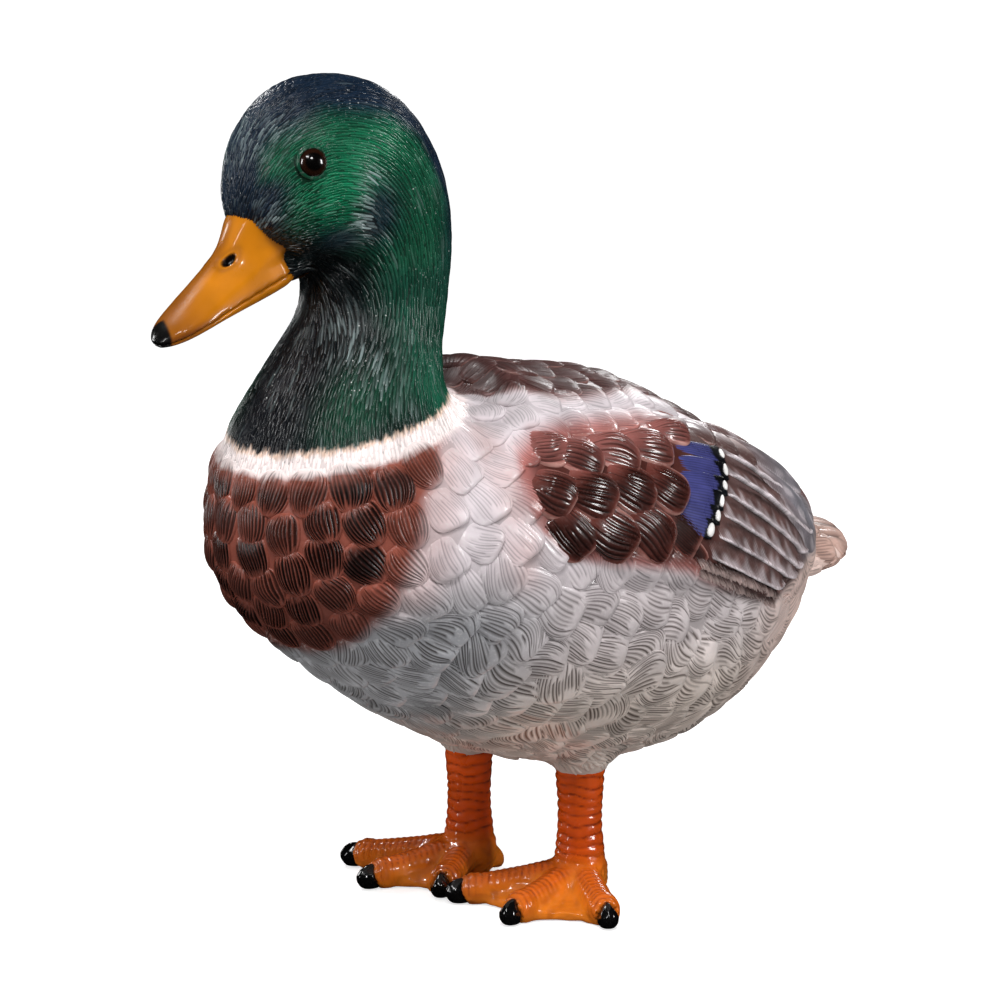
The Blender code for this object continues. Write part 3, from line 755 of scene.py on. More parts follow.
EYE_FINISH = resin("dark_glass_eye", 0.06, 1.0, grain=0.02, wash=0.0, brush=0.0)
BILL_FINISH = resin("satin_orange_enamel", 0.32, 0.6, grain=0.08, wash=0.1, brush=0.0, clear=0.08, relief=0.2,
                    shine=0.2)
CLAW_FINISH = resin("black_enamel", 0.12, 1.0, grain=0.05, wash=0.0, brush=0.0, clear=0.07)

CHEEK_LINE = [(99, 284), (93.5, 273), (90, 262), (89.5, 253), (95, 246), (104, 241)]   # forward, height
CHEEK_DEPTH = 1.9


def cheek_valley(data):
    """Presses a soft valley behind and below each cheek."""
    points, faces = mesh_arrays(data)
    out, forward, height = straightened(points)
    line, _ = rounded_line(CHEEK_LINE, 60)
    gap = np.hypot(forward[:, None] - line[:, 0], height[:, None] - line[:, 1])
    fade = np.interp(gap.argmin(1), [0, 14, 50, 59], [0, 1, 1, 0.4])
    depth = CHEEK_DEPTH * np.exp(-(gap.min(1) / 4.2) ** 2) * fade * smooth(abs(out), 11, 19)
    put_points(data, points - smooth_normals(points, faces) * depth[:, None])


skin_data = whole_skin()
cheek_valley(skin_data)
skin = Ground(skin_data)
ground_tones, _ = ground_paint(skin.points)
under_head = smooth(0.5 - collar_depth(*straightened(skin.points)), 0, 1)
painted(skin_data, ground_tones * (0.85 - 0.45 * under_head)[:, None], np.full(len(skin.points), 0.35))
piece("skin", skin_data, SKIN_FINISH, FLESH)


def on_side(spots, side):
    """Places on the skin's left or right side at each (forward, height)."""
    spots = np.atleast_2d(np.array(spots, float))
    starts = np.stack([np.zeros(len(spots)), -spots[:, 0], spots[:, 1]], 1)
    ways = np.tile([SIDES[side], 0.0, 0.0], (len(spots), 1))
    return skin.struck(starts, ways)


# ------------------------------------------------------------------ body feathers
def shaded_at_rim(tone, rim, share):
    """The colours, with only that share of them left on the sunken rim: painted shade in the crease where
    each plate or stroke meets the skin.
    """
    return tone * np.where(rim, share, 1.0)[..., None]


def middles(base):
    """The middle place of each feather."""
    return base[:, base.shape[1] // 2, base.shape[2] // 2]


def ground_tone(base):
    """The ground colour at each place of a block of places."""
    return ground_paint(base.reshape(-1, 3))[0].reshape(base.shape)


def plain_tint(wash, ridge_share=1.04, rim_share=0.75):
    """Ground colour on the ridges, and the share of it that wash gives in the grooves."""
    def tint(base, u, v, cut, rim):
        tone = ground_tone(base)
        low = tone * wash(base, tone)
        lip = smooth(np.maximum(abs(u), np.where(v > 0.5, 2 * v - 1, 0)), 0.84, 0.97)
        tone = mixed(tone * ridge_share, low, cut * (1 - 0.8 * lip))
        tone = mixed(tone, BLUSH, 0.30 * lip * smooth(0.3 - tone[..., 1], 0, 0.2))
        tone = tone * (1 + 0.10 * RNG.uniform(-1, 1, (len(base), 1, 1, 1)))
        return shaded_at_rim(tone, rim, rim_share * 0.7)
    return tint


def breast_tint(base, u, v, cut, rim):
    """Near-black domes with thin red-brown ridges, inside a red-brown net."""
    tone = ground_tone(base)
    below = collar_depth(*straightened(base.reshape(-1, 3))).reshape(u.shape)
    _, forward, height = straightened(middles(base))
    core = smooth(forward - breast_border(height) + RNG.uniform(-3, 3, len(base)), -1, 9)[:, None, None]
    inner = smooth(1 - abs(u), 0.03, 0.22) * smooth(v, 0.0, 0.12) * smooth(1 - v, 0.0, 0.13)
    deep = np.clip(core * RNG.uniform(0.8, 1.1, (len(base), 1, 1)), 0, 1) * inner
    deep = deep * (1 - 0.8 * smooth(13 - below, 0, 5))
    shade = RNG.uniform(0.1, 1.0, (len(base), 1, 1)) * smooth(0.62 - abs(v - 0.45) - 0.4 * abs(u), 0, 0.4)
    ridge = mixed(tone, mixed(BREAST * 0.75, BREAST_DARK, shade), deep)
    low = mixed(tone * 0.6, BREAST_DARK * 0.12, deep)
    return shaded_at_rim(mixed(ridge, low, smooth(cut, 0.04, 0.34) * (0.4 + 0.6 * inner)), rim, 0.4)


def low_wash(base, tone):
    """How dark the wash leaves the grooves: light on the shoulders, darker on the belly."""
    low = smooth(150 - base[..., 2], 0, 46) * (1 - 0.5 * smooth(base[..., 1], 34, 90))
    return mixed(np.array([0.86, 0.85, 0.86]), np.array([0.22, 0.19, 0.17]), low)


def back_wash(base, tone):
    """The back's grooves: faint where it is sprayed pale, deep where it is dark."""
    return 0.42 + 0.46 * smooth(tone[..., 1:2], 0.15, 0.55)


# How many random places each kind of feather is chosen from
BODY_PLACES, HEAD_PLACES, CUFF_PLACES, COLLAR_PLACES = 26000, 90000, 6000, 16000


def coat_sizes(places):
    """Spacing across and along the lie at each place."""
    _, forward, height = straightened(places)
    wide = 13.4 + 3.4 * smooth(148 - height, 0, 30)
    brown = smooth(forward, 84, 100)
    wide = wide * (1 - brown) + 13.6 * brown
    small = smooth(74 - height, 0, 14)
    wide = wide * (1 - small) + 10.5 * small
    rump = smooth(-forward, 92, 106)
    wide = wide * (1 - rump) + 12.0 * rump
    return wide, wide * (0.86 + 0.04 * smooth(130 - height, 0, 40))


def on_coat(places):
    """Where the body's large feathers grow: below the collar, off the wing patch, above the shanks."""
    out, forward, height = straightened(places)
    off_wing = wing_paint(out, forward, height)[1] < np.where(height > 160, 0.6, 0.15)
    tail_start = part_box("tail")[0][1] / MM
    on_tail = (places[:, 1] > tail_start + 28) & (abs(out) < 33)
    gap = np.interp(forward, *WING_LOW) - height
    on_fringe = (gap > -4) & (gap < 3.5) & (forward < -2) & (forward > -62) & (abs(out) > 40)
    below_collar = collar_depth(out, forward, height) > 12.0 * smooth(forward, 40, 60)
    behind_neck = (height < 190) | (forward < 62)
    return below_collar & off_wing & (height > 58) & ~on_tail & ~on_fringe & behind_neck


def zone(places):
    """Which of the body's coats each place wears."""
    out, forward, height = straightened(places)
    named = np.full(len(places), "side", object)
    named[(height < 122) & (forward < 95)] = "belly"
    named[(height > 150) & (abs(out) < 48) & (forward < 70)] = "back"
    named[body_paint(out, forward, height)[1] > 0.5] = "breast"
    named[forward < -96] = "rump"
    return named


def tiled(**own):
    """The relief of a low plate with many fine ridges."""
    return dict(outline="tile", rows=14, per_ridge=2, root=-0.8, lift=0.9, flat=2.4, wild=0.7, bow=0.4,
                uneven=0.6) | own


COATS = {
    "breast": dict(size=1.09, tumble=12, tint=breast_tint, finish=BREAST_FINISH,
                   shape=dict(rows=14, ridges=12, per_ridge=4, rise=2.3, groove=0.7, root=0.0, lift=0.4,
                              flat=2.2, wild=0.5, sink=0.5, bow=0.34, sharp=1.1, uneven=0.5)),
    "side": dict(size=1.17, tumble=20, tint=plain_tint(low_wash), finish=BODY_FINISH,
                 shape=tiled(ridges=15, rise=1.9, groove=0.36, flat=2.2, wild=0.8, bow=0.5)),
    "belly": dict(size=1.2, tumble=42, tint=plain_tint(low_wash, 1.14), finish=BODY_FINISH,
                  shape=tiled(ridges=19, rise=1.6, groove=0.45, root=-0.9, lift=0.8, flat=2.2, wild=0.9,
                              bow=0.8, uneven=0.7)),
    "back": dict(size=1.12, tumble=14, tint=plain_tint(back_wash, 1.08), finish=BACK_FINISH,
                 shape=tiled(ridges=14, rise=1.4, groove=0.28)),
    "rump": dict(size=1.1, tumble=16, tint=plain_tint(back_wash, 1.08, 1.35), finish=BACK_FINISH,
                 shape=tiled(ridges=14, rise=1.0, groove=0.35, lift=0.8)),
}


def turned(ways, normals, degrees):
    """Directions turned about the normals by random angles up to that many degrees."""
    angle = np.radians(RNG.uniform(-degrees, degrees, len(ways)))[:, None]
    return unit(ways * np.cos(angle) + np.cross(normals, ways) * np.sin(angle))


def hollow(places, ways):
    """1 where the skin bends up ahead of or behind a place, as at the root of the tail, else 0."""
    (back, back_normals), (fore, fore_normals) = (skin.laid(places + ways * step) for step in (-5.0, 5.0))
    return (((fore_normals - back_normals) * unit(fore - back)).sum(1) < -0.45).astype(float)


def body_coats():
    places, normals = sown(skin, BODY_PLACES, on_coat, 5)
    wide, long = coat_sizes(places)
    kept = thinned(places, lie(places, normals), normals, RNG.uniform(size=len(places)), wide * 0.80,
                   long * 0.80)
    places, normals = spread(skin, places[kept], lambda p: coat_sizes(p)[0], lambda p: coat_sizes(p)[1],
                             on_coat)
    named = zone(places)
    wide, long = coat_sizes(places)
    for coat, side in [(coat, side) for coat in COATS for side in SIDES]:
        plan = COATS[coat]
        mine = (named == coat) & (places[:, 0] * SIDES[side] >= 0)
        spots, uprights = places[mine], normals[mine]
        droop = 0.35 * smooth(abs(spots[:, 0]), 20, 50) * (coat in ("side", "belly"))
        ways = lie(spots, uprights) - np.outer(droop, [0, 0, 1.0])
        ways = unit(ways - uprights * (ways * uprights).sum(1, keepdims=True))
        ways = turned(ways, uprights, plan["tumble"])
        count = mine.sum()
        size = RNG.uniform(0.93, 1.09, count) * plan["size"] * (1 - 0.45 * hollow(spots, ways))
        feathers(f"{coat}_feathers_{side}", skin, spots, ways, long[mine] * 1.28 * size,
                 wide[mine] * 0.535 * size, plan["shape"], plan["tint"], plan["finish"])


# ------------------------------------------------------------------ wing feathers
def down_back(places, slope):
    """Directions along the wing: to the rear, falling by slope."""
    _, normals = skin.laid(places)
    ways = np.stack([np.zeros(len(places)), np.ones(len(places)), -np.broadcast_to(slope, len(places))], 1)
    return unit(ways - normals * (ways * normals).sum(1, keepdims=True))


def on_wing(name, side, spots, slope, lengths, widths, shape, tint, finish=WING_FINISH, tumble=0):
    """Feathers of the folded wing whose middles are at each (forward, height)."""
    homes = on_side(spots, side)
    ways = down_back(homes, slope)
    if tumble:
        ways = turned(ways, skin.laid(homes)[1], tumble)
    feathers(f"{name}_{side}", skin, homes, ways, lengths, widths, dict(mirror=SIDES[side]) | shape, tint,
             finish)


def covert_tint(base, u, v, cut, rim):
    """Dark glossy cores that redden to the front and the top, with a fine pale edge."""
    upper = smooth(base[..., 2], 166, 182)
    edge = np.maximum(abs(u), 2 * v - 1)
    shade = RNG.uniform(0.8, 1.1, (len(base), 1, 1))
    dark = smooth(v + 0.3 * u, -0.15, 0.4) * (1 - 0.75 * upper) * shade * (1 - smooth(edge, 0.60, 0.88))
    ridge = mixed(COVERT, COVERT_RED, 0.85 * upper)
    ridge = mixed(ridge, COVERT * 0.25, np.clip(dark, 0, 1)) * (1 + 0.12 * cloudy(base, 9, 8))[..., None]
    line = smooth(edge, 0.80, 0.93) * smooth(v, 0.1, 0.4)
    ridge = mixed(ridge, COVERT_EDGE, 0.9 * line * (0.7 + 0.3 * cloudy(base, 5, 18)))
    low = smooth(cut, 0.05, 0.6) * (0.6 + 0.4 * np.clip(dark, 0, 1)) * (1 - line)
    return shaded_at_rim(mixed(ridge, COVERT * 0.06, low), rim, 0.75)


COVERTS = (
    # place ahead, height, length and half-width of each domed covert
    (48, 179, 17, 8.2), (39, 176.5, 21, 9.0), (22, 176, 22, 9.4), (4, 176, 22, 9.2), (-13, 179, 18, 7.0),
    (54, 165.5, 18, 9.2), (40, 164.5, 22, 9.9), (22, 164.5, 23, 10.2), (4.5, 163, 21, 9.8),
    (49.5, 151.5, 21, 9.6), (34.5, 150.5, 24, 10.4), (17.5, 148.5, 24, 10.4),
)


def coverts(side):
    """Three rows of large domed coverts on the front of the folded wing."""
    table = np.array(COVERTS)
    on_wing("coverts", side, table[:, :2], 0.8, table[:, 2], table[:, 3],
            tiled(rows=18, ridges=11, per_ridge=4, rise=3.7, root=-0.6, lift=1.0, groove=0.6, flat=2.0,
                  wild=0.8, sink=1.0), covert_tint, tumble=7)


GREAT_COVERTS = (
    # place ahead, height, length, half-width and slope: two by the speculum, the rest over it
    (1.5, 147.5, 22, 8.8, 0.9), (-1, 139.5, 21, 6.5, 0.9), (-24, 181.5, 18, 6.0, 0.45),
    (-36, 178, 19, 6.2, 0.45), (-49, 173.5, 19, 6.2, 0.5),
)


def low_coverts(side):
    """The flatter, finely lined coverts round the speculum."""
    table = np.array(GREAT_COVERTS)
    on_wing("great_coverts", side, table[:, :2], table[:, 4], table[:, 2], table[:, 3],
            tiled(ridges=18, rise=0.9, lift=0.8, groove=0.4, wild=0.5, sink=1.0, sharp=0.7, bow=0.3,
                  uneven=0.5), covert_tint)


SPECULUM = (
    # front and rear ends of each blue plate: ahead, height, ahead, height
    (-7, 176, -35.5, 168.5), (-4, 171, -32.5, 163.5), (-1, 166, -27.5, 159), (2, 161.5, -22.5, 154.5),
    (4, 157, -18, 150), (4, 152.5, -12.5, 146),
)


def speculum_tint(base, u, v, cut, rim):
    tone = BLUE * (1 + 0.10 * cloudy(base, 5, 12))[..., None]
    tone = mixed(tone, BLUE * 0.55, 0.6 * cut)
    return shaded_at_rim(mixed(tone, BLACK, smooth(v + 0.03 * cloudy(base, 4, 2), 0.77, 0.79)), rim, 0.6)


def speculum(side):
    """The violet-blue patch with its black bar, and the white dabs along it."""
    ends = np.array(SPECULUM)
    ahead, fall = (ends[:, :2] - ends[:, 2:]).T
    on_wing("speculum", side, (ends[:, :2] + ends[:, 2:]) / 2, fall / ahead, np.hypot(ahead, fall) + 2.0,
            np.full(len(ends), 4.0),
            dict(outline="long", blunt=0.94, rows=24, ridges=7, per_ridge=2, rise=0.4, root=-0.4, lift=1.5,
                 groove=0.2, flat=4, wild=0.4, sink=0.6), speculum_tint)
    on_wing("speculum_dabs", side, ends[:, 2:] + [0.8, 0.0], -1.7, np.array([4.4, 5.4, 3.8, 4.8, 4.4, 5.0]),
            np.array([1.15, 1.2, 1.25, 1.1, 1.3, 1.6]),
            dict(outline="oval", rows=10, ridges=0, per_ridge=8, rise=0.7, root=1.6, lift=1.6, flat=2.6,
                 wild=0.2, sink=0.5, mirror=1), lambda base, u, v, cut, rim: np.broadcast_to(DAB, base.shape))


QUILLS = (
    # front and rear ends of each long feather's lower edge: ahead, height, ahead, height
    (-36, 167.5, -85, 147), (-29, 162.5, -90, 135.5), (-23, 157, -81, 129), (-18, 150.5, -75, 124.5),
    (-12.5, 144, -68, 121), (-8, 137, -58, 118.5),
)


def quill_tint(base, u, v, cut, rim):
    rear = smooth(base[..., 1], 60, 100) * smooth(base[..., 2], 122, 146)
    tone = mixed(QUILL * 0.8, TERTIAL, rear)
    pale = smooth(u + 0.5 * cloudy(base, 6, 3), -0.1, 0.8) * (1 - 0.75 * cut)
    tone = mixed(tone, QUILL_RIM, 0.65 * pale)
    edge = smooth(u + 0.08 * cloudy(base, 3, 6), 0.78, 0.92) * smooth(1.02 - u, 0, 0.06)
    tone = mixed(tone, QUILL_RIM * 1.25, 0.9 * edge)
    # painted shadow: the upper part of each long feather is darkened as under the raised edge of the one
    # above
    tone = mixed(tone, QUILL * 0.12, 0.92 * smooth(-u, 0.1, 0.85))
    tone = tone * (1 + 0.25 * cloudy(base, 11, 9))[..., None]
    return shaded_at_rim(mixed(tone, QUILL * 0.15, cut * 0.75 * smooth(0.85 - u, 0, 0.3)), rim, 0.3)


def quills(side):
    """The long feathers of the folded wing, each with a high pale lower edge."""
    ends = np.array(QUILLS)
    ahead, fall = (ends[:, :2] - ends[:, 2:]).T
    length = np.hypot(ahead, fall)
    lifted = (ends[:, :2] + ends[:, 2:]) / 2 + np.stack([-fall, ahead], 1) / length[:, None] * 3.9
    on_wing("quills", side, lifted, fall / ahead, length, np.full(len(ends), 5.4),
            dict(outline="long", rows=96, ridges=0, per_ridge=16, rise=0.3, root=-0.3, lift=0.5, flat=2.2,
                 sink=1.2, crest=1.8, barbs=48, groove=0.3, slant=1.1, wild=0.8, nicks=0.05), quill_tint,
            QUILL_FINISH)


TERTIALS = (
    # place ahead, height, length, half-width, slope, how proud and how grey each lobe over the wing's rear is
    (-62, 171, 50, 7.0, 0.36, 1.0, 0.3), (-83, 137.5, 38, 8.5, 0.62, 0.4, 0.8),
    (-79, 148.5, 42, 8.0, 0.56, 1.4, 1.0), (-73, 161, 42, 8.0, 0.50, 3.4, 0.9),
)


def tertial_tint(base, u, v, cut, rim):
    grey = smooth(base[..., 1], 50, 84) * np.array(TERTIALS)[:, 6, None, None]
    tone = mixed(QUILL * 0.85, TERTIAL, grey)
    tone = mixed(tone, QUILL_RIM, 0.5 * smooth(cloudy(base, 8, 41), 0.0, 0.9) * (1 - cut))
    edge = 0.6 * smooth(abs(u), 0.82, 0.95) + 0.4 * smooth(v, 0.93, 0.98) * (1 - abs(u))
    tone = mixed(tone, QUILL_RIM, edge)
    tone = tone * (1 + 0.2 * cloudy(base, 13, 5))[..., None]
    return shaded_at_rim(mixed(tone, TERTIAL * 0.25, cut * 0.65), rim, 0.4)


def tertials(side):
    """The grey lobes over the rear of the wing."""
    table = np.array(TERTIALS)
    on_wing("tertials", side, table[:, :2], table[:, 4], table[:, 2], table[:, 3],
            dict(outline="long", rows=84, ridges=0, per_ridge=18, rise=1.6, root=0.2,
                 lift=table[:, 5, None, None], flat=2.4, sink=1.0, barbs=28, groove=0.45, slant=0.7,
                 wild=0.8), tertial_tint, QUILL_FINISH)


def fringe_tint(base, u, v, cut, rim):
    tone = mixed(QUILL * 0.4, rgb(216, 190, 184), smooth(v, 0.2, 0.8))
    return shaded_at_rim(tone * RNG.uniform(0.75, 1.15, (len(base), 1, 1, 1)), rim, 0.35)


BARBS = 74                           # in each of the fringe's two rows


def fringe(side):
    """The combed barbs below the lowest long feather."""
    share = np.tile(np.linspace(0, 1, BARBS), 2) + RNG.uniform(-0.006, 0.006, 2 * BARBS)
    deep = np.repeat([6.5, 3.0], BARBS) + RNG.uniform(-0.5, 0.5, 2 * BARBS)
    homes = on_side(np.stack([-6 - 52 * share, 138 - 20 * share - deep], 1), side)
    ways = turned(down_back(homes, 1.15), skin.laid(homes)[1], 7)
    strokes("fringe_" + side, homes, ways, RNG.uniform(7.5, 10, len(homes)), np.full(len(homes), 0.62), 1.7,
            fringe_tint, QUILL_FINISH, curl=0.0)


# ------------------------------------------------------------------ tail
def tail_tint(base, u, v, cut, rim):
    tone = TAIL_TONE * (1 + 0.12 * cloudy(base, 9, 6))[..., None]
    return shaded_at_rim(mixed(tone, TAIL_TONE * 0.45, cut * 0.8), rim, 0.9)


TAIL_FEATHERS, TAIL_COVERTS = 22, 17
TAIL_PIVOT = 52.0                    # y of the point that the tail feathers fan out from
TAIL_RING, COVERT_RING = 16.0, 29.5  # how far before the tail's tip the middles of the feathers lie
TAIL_ROUND = 3.0                     # how far the feathers go round the tail's edge


def tail_ring(name, count, before_tip, length, half_width, shape):
    """Ridged feathers fanned all round the tail, their middles that far before its tip.  With no length given
    they end at its edge."""
    start, tip = (corner[1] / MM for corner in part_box("tail"))
    ring = skin.points[abs(skin.points[:, 1] - tip + before_tip) < 1.2]
    centre = ring.mean(0)
    ring = ring[np.argsort(np.arctan2((ring[:, 2] - centre[2]) * 2.5, ring[:, 0] - centre[0]))]
    run = np.concatenate([[0], np.cumsum(np.linalg.norm(np.diff(ring[:, [0, 2]], axis=0), axis=1))])
    steps = (np.arange(count) + 0.5) / count * run[-1]
    homes = np.stack([np.interp(steps, run, ring[:, i]) for i in range(3)], 1)
    homes, normals = skin.laid(homes)
    pivot = np.array([0.0, TAIL_PIVOT])
    plan = unit(homes[:, :2] - pivot)
    tail = skin.points[skin.points[:, 1] > start][:, :2] - pivot
    beside = abs(tail @ np.stack([plan[:, 1], -plan[:, 0]])) < 1.6
    reach = np.where(beside, tail @ plan.T, 0).max(0) - np.linalg.norm(homes[:, :2] - pivot, axis=1)
    ways = np.column_stack([plan, np.zeros(len(plan))])
    ways = unit(ways - normals * (ways * normals).sum(1, keepdims=True))
    lengths = np.full(count, length) if length else 2 * (reach + TAIL_ROUND)
    feathers(name, skin, homes, ways, lengths, np.full(count, run[-1] / count * half_width), shape, tail_tint,
             QUILL_FINISH)


def tail():
    tail_ring("tail_fan", TAIL_FEATHERS, TAIL_RING, 0, 0.6,
              dict(outline="long", rows=40, ridges=2, per_ridge=8, rise=0.9, root=-0.4, lift=0.4, flat=2.4,
                   sink=0.8, groove=0.6, sharp=1.0, wild=0.0, bow=0.1, blunt=0.92))
    tail_ring("tail_coverts", TAIL_COVERTS, COVERT_RING, 18.0, 0.64,
              tiled(ridges=12, rise=1.0, groove=0.35, root=-0.9))


# ------------------------------------------------------------------ strokes of the head, neck and collar
def strokes(name, places, ways, lengths, widths, height, tint, finish, rows=6, curl=0.8, droop=0.0):
    """Fine raised strokes that follow the lie."""
    feathers(name, skin, places, ways, lengths, widths,
             dict(outline="spindle", rows=rows, ridges=0, per_ridge=2, rise=height, root=0.0, lift=0.0,
                  flat=1.4, sink=0.25, curl=curl, droop=droop), tint, finish)


EYES = [middle_of("eye_" + side) for side in SIDES]
DRY_BRUSH_AND_GLINTS = (
    # where the dry brush has caught the strokes, with painted highlight along them: ahead, height, how far
    # each way, how much
    (97.5, 270, 3.0, 9, 1.2), (98, 258, 4, 6, 1.0), (124, 259, 5, 6, 0.5), (128, 282, 6, 7, 0.5),
    (119, 288, 6, 4, 0.35), (100, 212, 6, 14, 0.45), (88, 214, 6, 16, 0.12),
)


def head_tint(base, u, v, cut, rim):
    tone = ground_tone(base)
    lot = RNG.uniform(0.72, 1.28, (len(base), 1, 1, 1))
    pale = (RNG.uniform(size=(len(base), 1, 1)) < 0.06) * RNG.uniform(0.02, 0.14, (len(base), 1, 1))
    _, forward, height = straightened(middles(base))
    # the strokes are paler where the dry brush caught them, and there they also carry painted highlight
    brush_and_glint = sum(share * dabbed(forward, height, *where) for *where, share in DRY_BRUSH_AND_GLINTS)
    pale = pale + (brush_and_glint * RNG.uniform(0.0, 1.0, len(base)) ** 2.5)[:, None, None]
    tone = mixed(tone * lot, rgb(176, 196, 196), np.clip(pale, 0, 0.75) * smooth(v, 0.1, 0.4))
    return shaded_at_rim(tone, rim, 0.25)


MOUTH_CORNER, BILL_PITCH = (113, 241), -25.0         # forward and height; degrees
NOSTRIL = (19.5, 12.6)                               # along and above the mouth line
NOSTRIL_LENGTH, NOSTRIL_HEIGHT = 2.5, 0.95           # half of each


def beside_bill(forward, height):
    """How far along the bill from the mouth's corner, and how far above the mouth line."""
    pitch = math.radians(BILL_PITCH)
    ahead, above = forward - MOUTH_CORNER[0], height - MOUTH_CORNER[1]
    return (ahead * math.cos(pitch) + above * math.sin(pitch),
            -ahead * math.sin(pitch) + above * math.cos(pitch))


def clear_of_face(spots):
    """True where a place is clear of the eyes and the bill."""
    far = np.min([np.linalg.norm(spots - eye, axis=1) for eye in EYES], 0)
    open_face = far > 6.6
    near = np.nonzero((spots[:, 2] > 212) & (spots[:, 1] < -90))[0]
    for beak in BEAKS:
        for i in near:
            spot, normal, _, gap = beak.tree.find_nearest(spots[i].tolist())
            away = Vector(spots[i]) - spot
            open_face[i] &= gap > 5 or away.dot(normal) > 0.0
    return open_face


def head_coat():
    def chosen(spots):
        out, forward, height = straightened(spots)
        return (collar_depth(out, forward, height) < 1.0) & (height > 150)

    places, normals = sown(skin, HEAD_PLACES, chosen, 21)
    clear = clear_of_face(places)
    places, normals = places[clear], normals[clear]
    ways = lie(places, normals)
    run, _ = along_body(places)
    out, forward, height = straightened(places)
    face = smooth(height, 232, 256) * smooth(forward, 84, 118)
    wide, long = 0.98 - 0.24 * face, 6.5 - 3.3 * face
    kept = thinned(places, ways, normals, -run, wide, long)
    kept = kept[np.argsort(RNG.uniform(size=len(kept)))]
    low, left = height[kept] < 236, out[kept] >= 0
    for name, mine in (("neck", low), ("head_left", ~low & left), ("head_right", ~low & ~left)):
        pick = kept[mine]
        strokes("strokes_" + name, places[pick], turned(ways[pick], normals[pick], 6),
                long[pick] * 1.75 * RNG.uniform(0.75, 1.2, len(pick)), wide[pick] * 0.60, 0.45, head_tint,
                HEAD_FINISH)


def stroke_tint(least, most, rim_share, share):
    """Ground colour, each stroke a little lighter or darker, and rim_share of it on the sunken rim as painted
    shade where the stroke meets the skin.
    """
    def tint(base, u, v, cut, rim):
        tone = ground_tone(base) * RNG.uniform(least, most, (len(base), 1, 1, 1))
        return np.where(rim[..., None], tone * rim_share, tone * share)
    return tint


def cuffs():
    """Short strokes round the top of each leg and under the belly between."""
    places, normals = sown(skin, CUFF_PLACES, lambda spots: (spots[:, 2] < 64) & (spots[:, 2] > 51.5), 13)
    ways = turned(lie(places, normals, 0.8), normals, 25)
    kept = thinned(places, ways, normals, RNG.uniform(size=len(places)), np.full(len(places), 1.3),
                   np.full(len(places), 4.2))
    strokes("strokes_thighs", places[kept], ways[kept], RNG.uniform(5.5, 8.5, len(kept)),
            np.full(len(kept), 0.8), 0.45, stroke_tint(0.75, 1.08, 0.45, 1.0), BODY_FINISH)


def collar():
    """Brushed strokes of the white neck ring."""
    def chosen(spots):
        out, forward, height = straightened(spots)
        depth = collar_depth(out, forward, height)
        return (depth > -0.5) & (depth < 8.5) & (height > 150) & (height < 205) & (forward > 40)

    places, normals = sown(skin, COLLAR_PLACES, chosen, 8)
    ways = lie(places, normals)
    kept = thinned(places, ways, normals, RNG.uniform(size=len(places)), np.full(len(places), 1.0),
                   np.full(len(places), 2.9))
    strokes("strokes_collar", places[kept], turned(ways[kept], normals[kept], 8),
            RNG.uniform(4, 6.5, len(kept)), np.full(len(kept), 0.66), 0.25,
            stroke_tint(0.9, 1.05, 0.95, 1.15), BODY_FINISH)


def bill(name, node):
    """One half of the bill, softened, broadened at its base and cut with its nostrils."""
    data = fine_skin(name, {node: 0.6}, 0.6, 34, 0.35)
    points, faces = mesh_arrays(data)
    out, forward, height = straightened(points)
    along, rise = beside_bill(forward, height)
    top = name == "upper_bill"
    if top:
        broad = 1 + smooth(18 - along, 0, 16) * (0.16 * smooth(rise, 4, 10) + 0.48 * smooth(rise, 10, 19))
        tuck = (2.6 * smooth(5 - along, 0, 5) + 3 * smooth(1 - along, 0, 5)) * smooth(9 - rise, 0, 4)
        out = out * broad - np.sign(out) * tuck
        lift = 5.5 * smooth(21 - along, 0, 15) * smooth(rise, 8, 17)
        height = height + lift
        forward = forward + 0.25 * lift
    else:
        out = out - np.sign(out) * (2.2 * smooth(6 - along, 0, 6) + 3.5 * smooth(2 - along, 0, 5))
        height = height - 0.25 * rise
    points = twisted(np.stack([out, -forward, height], 1))
    normals = smooth_normals(points, faces)
    tone = np.tile(rgb(200, 120, 12), (len(points), 1)) * (1 + 0.05 * cloudy(points, 9, 3))[:, None]
    ridge = smooth(5.5 - abs(out), 0, 4) * smooth(rise, 4, 8) * smooth(along, 4, 18)
    tone = mixed(tone, rgb(138, 76, 20), 0.65 * top * ridge)
    edge = smooth(along, 28, 50) + 0.7 * smooth(2.6 - rise, 0, 2.6) * top
    tone = mixed(tone, rgb(126, 68, 18), np.clip(0.7 * edge, 0, 1))
    tone = mixed(tone, rgb(96, 50, 16), 0.8 * smooth(5.5 - along + 0.25 * rise, 0, 8))
    tone = mixed(tone, rgb(12, 11, 11), smooth(along + 0.5 * rise - 0.3 * abs(out), 50.5, 51.6))
    shift = np.zeros(len(points))
    if top:
        beyond, above = along - NOSTRIL[0], rise - NOSTRIL[1]
        gone = (beyond * 0.98 - above * 0.2) / NOSTRIL_LENGTH
        over = (beyond * 0.2 + above * 0.98) / NOSTRIL_HEIGHT
        for side in SIDES.values():
            hole = np.sqrt(gone ** 2 + over ** 2) + 4 * smooth(2.5 - out * side, 0, 1.5)
            shift -= 1.8 * smooth(1.2 - hole, 0, 0.8)
            shift += 0.12 * np.exp(-((hole - 1.6) / 0.35) ** 2)
            tone = mixed(tone, rgb(9, 7, 7), smooth(1.3 - hole, 0, 0.3))
            tone = mixed(tone, rgb(110, 60, 20), 0.35 * np.exp(-((hole - 1.8) / 0.5) ** 2))
    put_points(data, points + normals * shift[:, None])
    painted(data, tone)
    piece(name, data, BILL_FINISH, (node,))
    return data


BEAKS = [Ground(bill("upper_bill", "bill_upper")), Ground(bill("lower_bill", "bill_lower"))]
body_coats()
for wing_side in SIDES:
    for part in (coverts, low_coverts, quills, tertials, speculum, fringe):
        part(wing_side)
tail()
head_coat()
cuffs()
collar()


# ------------------------------------------------------------------ bill, eyes, legs and claws
EYE_RADIUS, LID_RADIUS = 5.95, 4.7


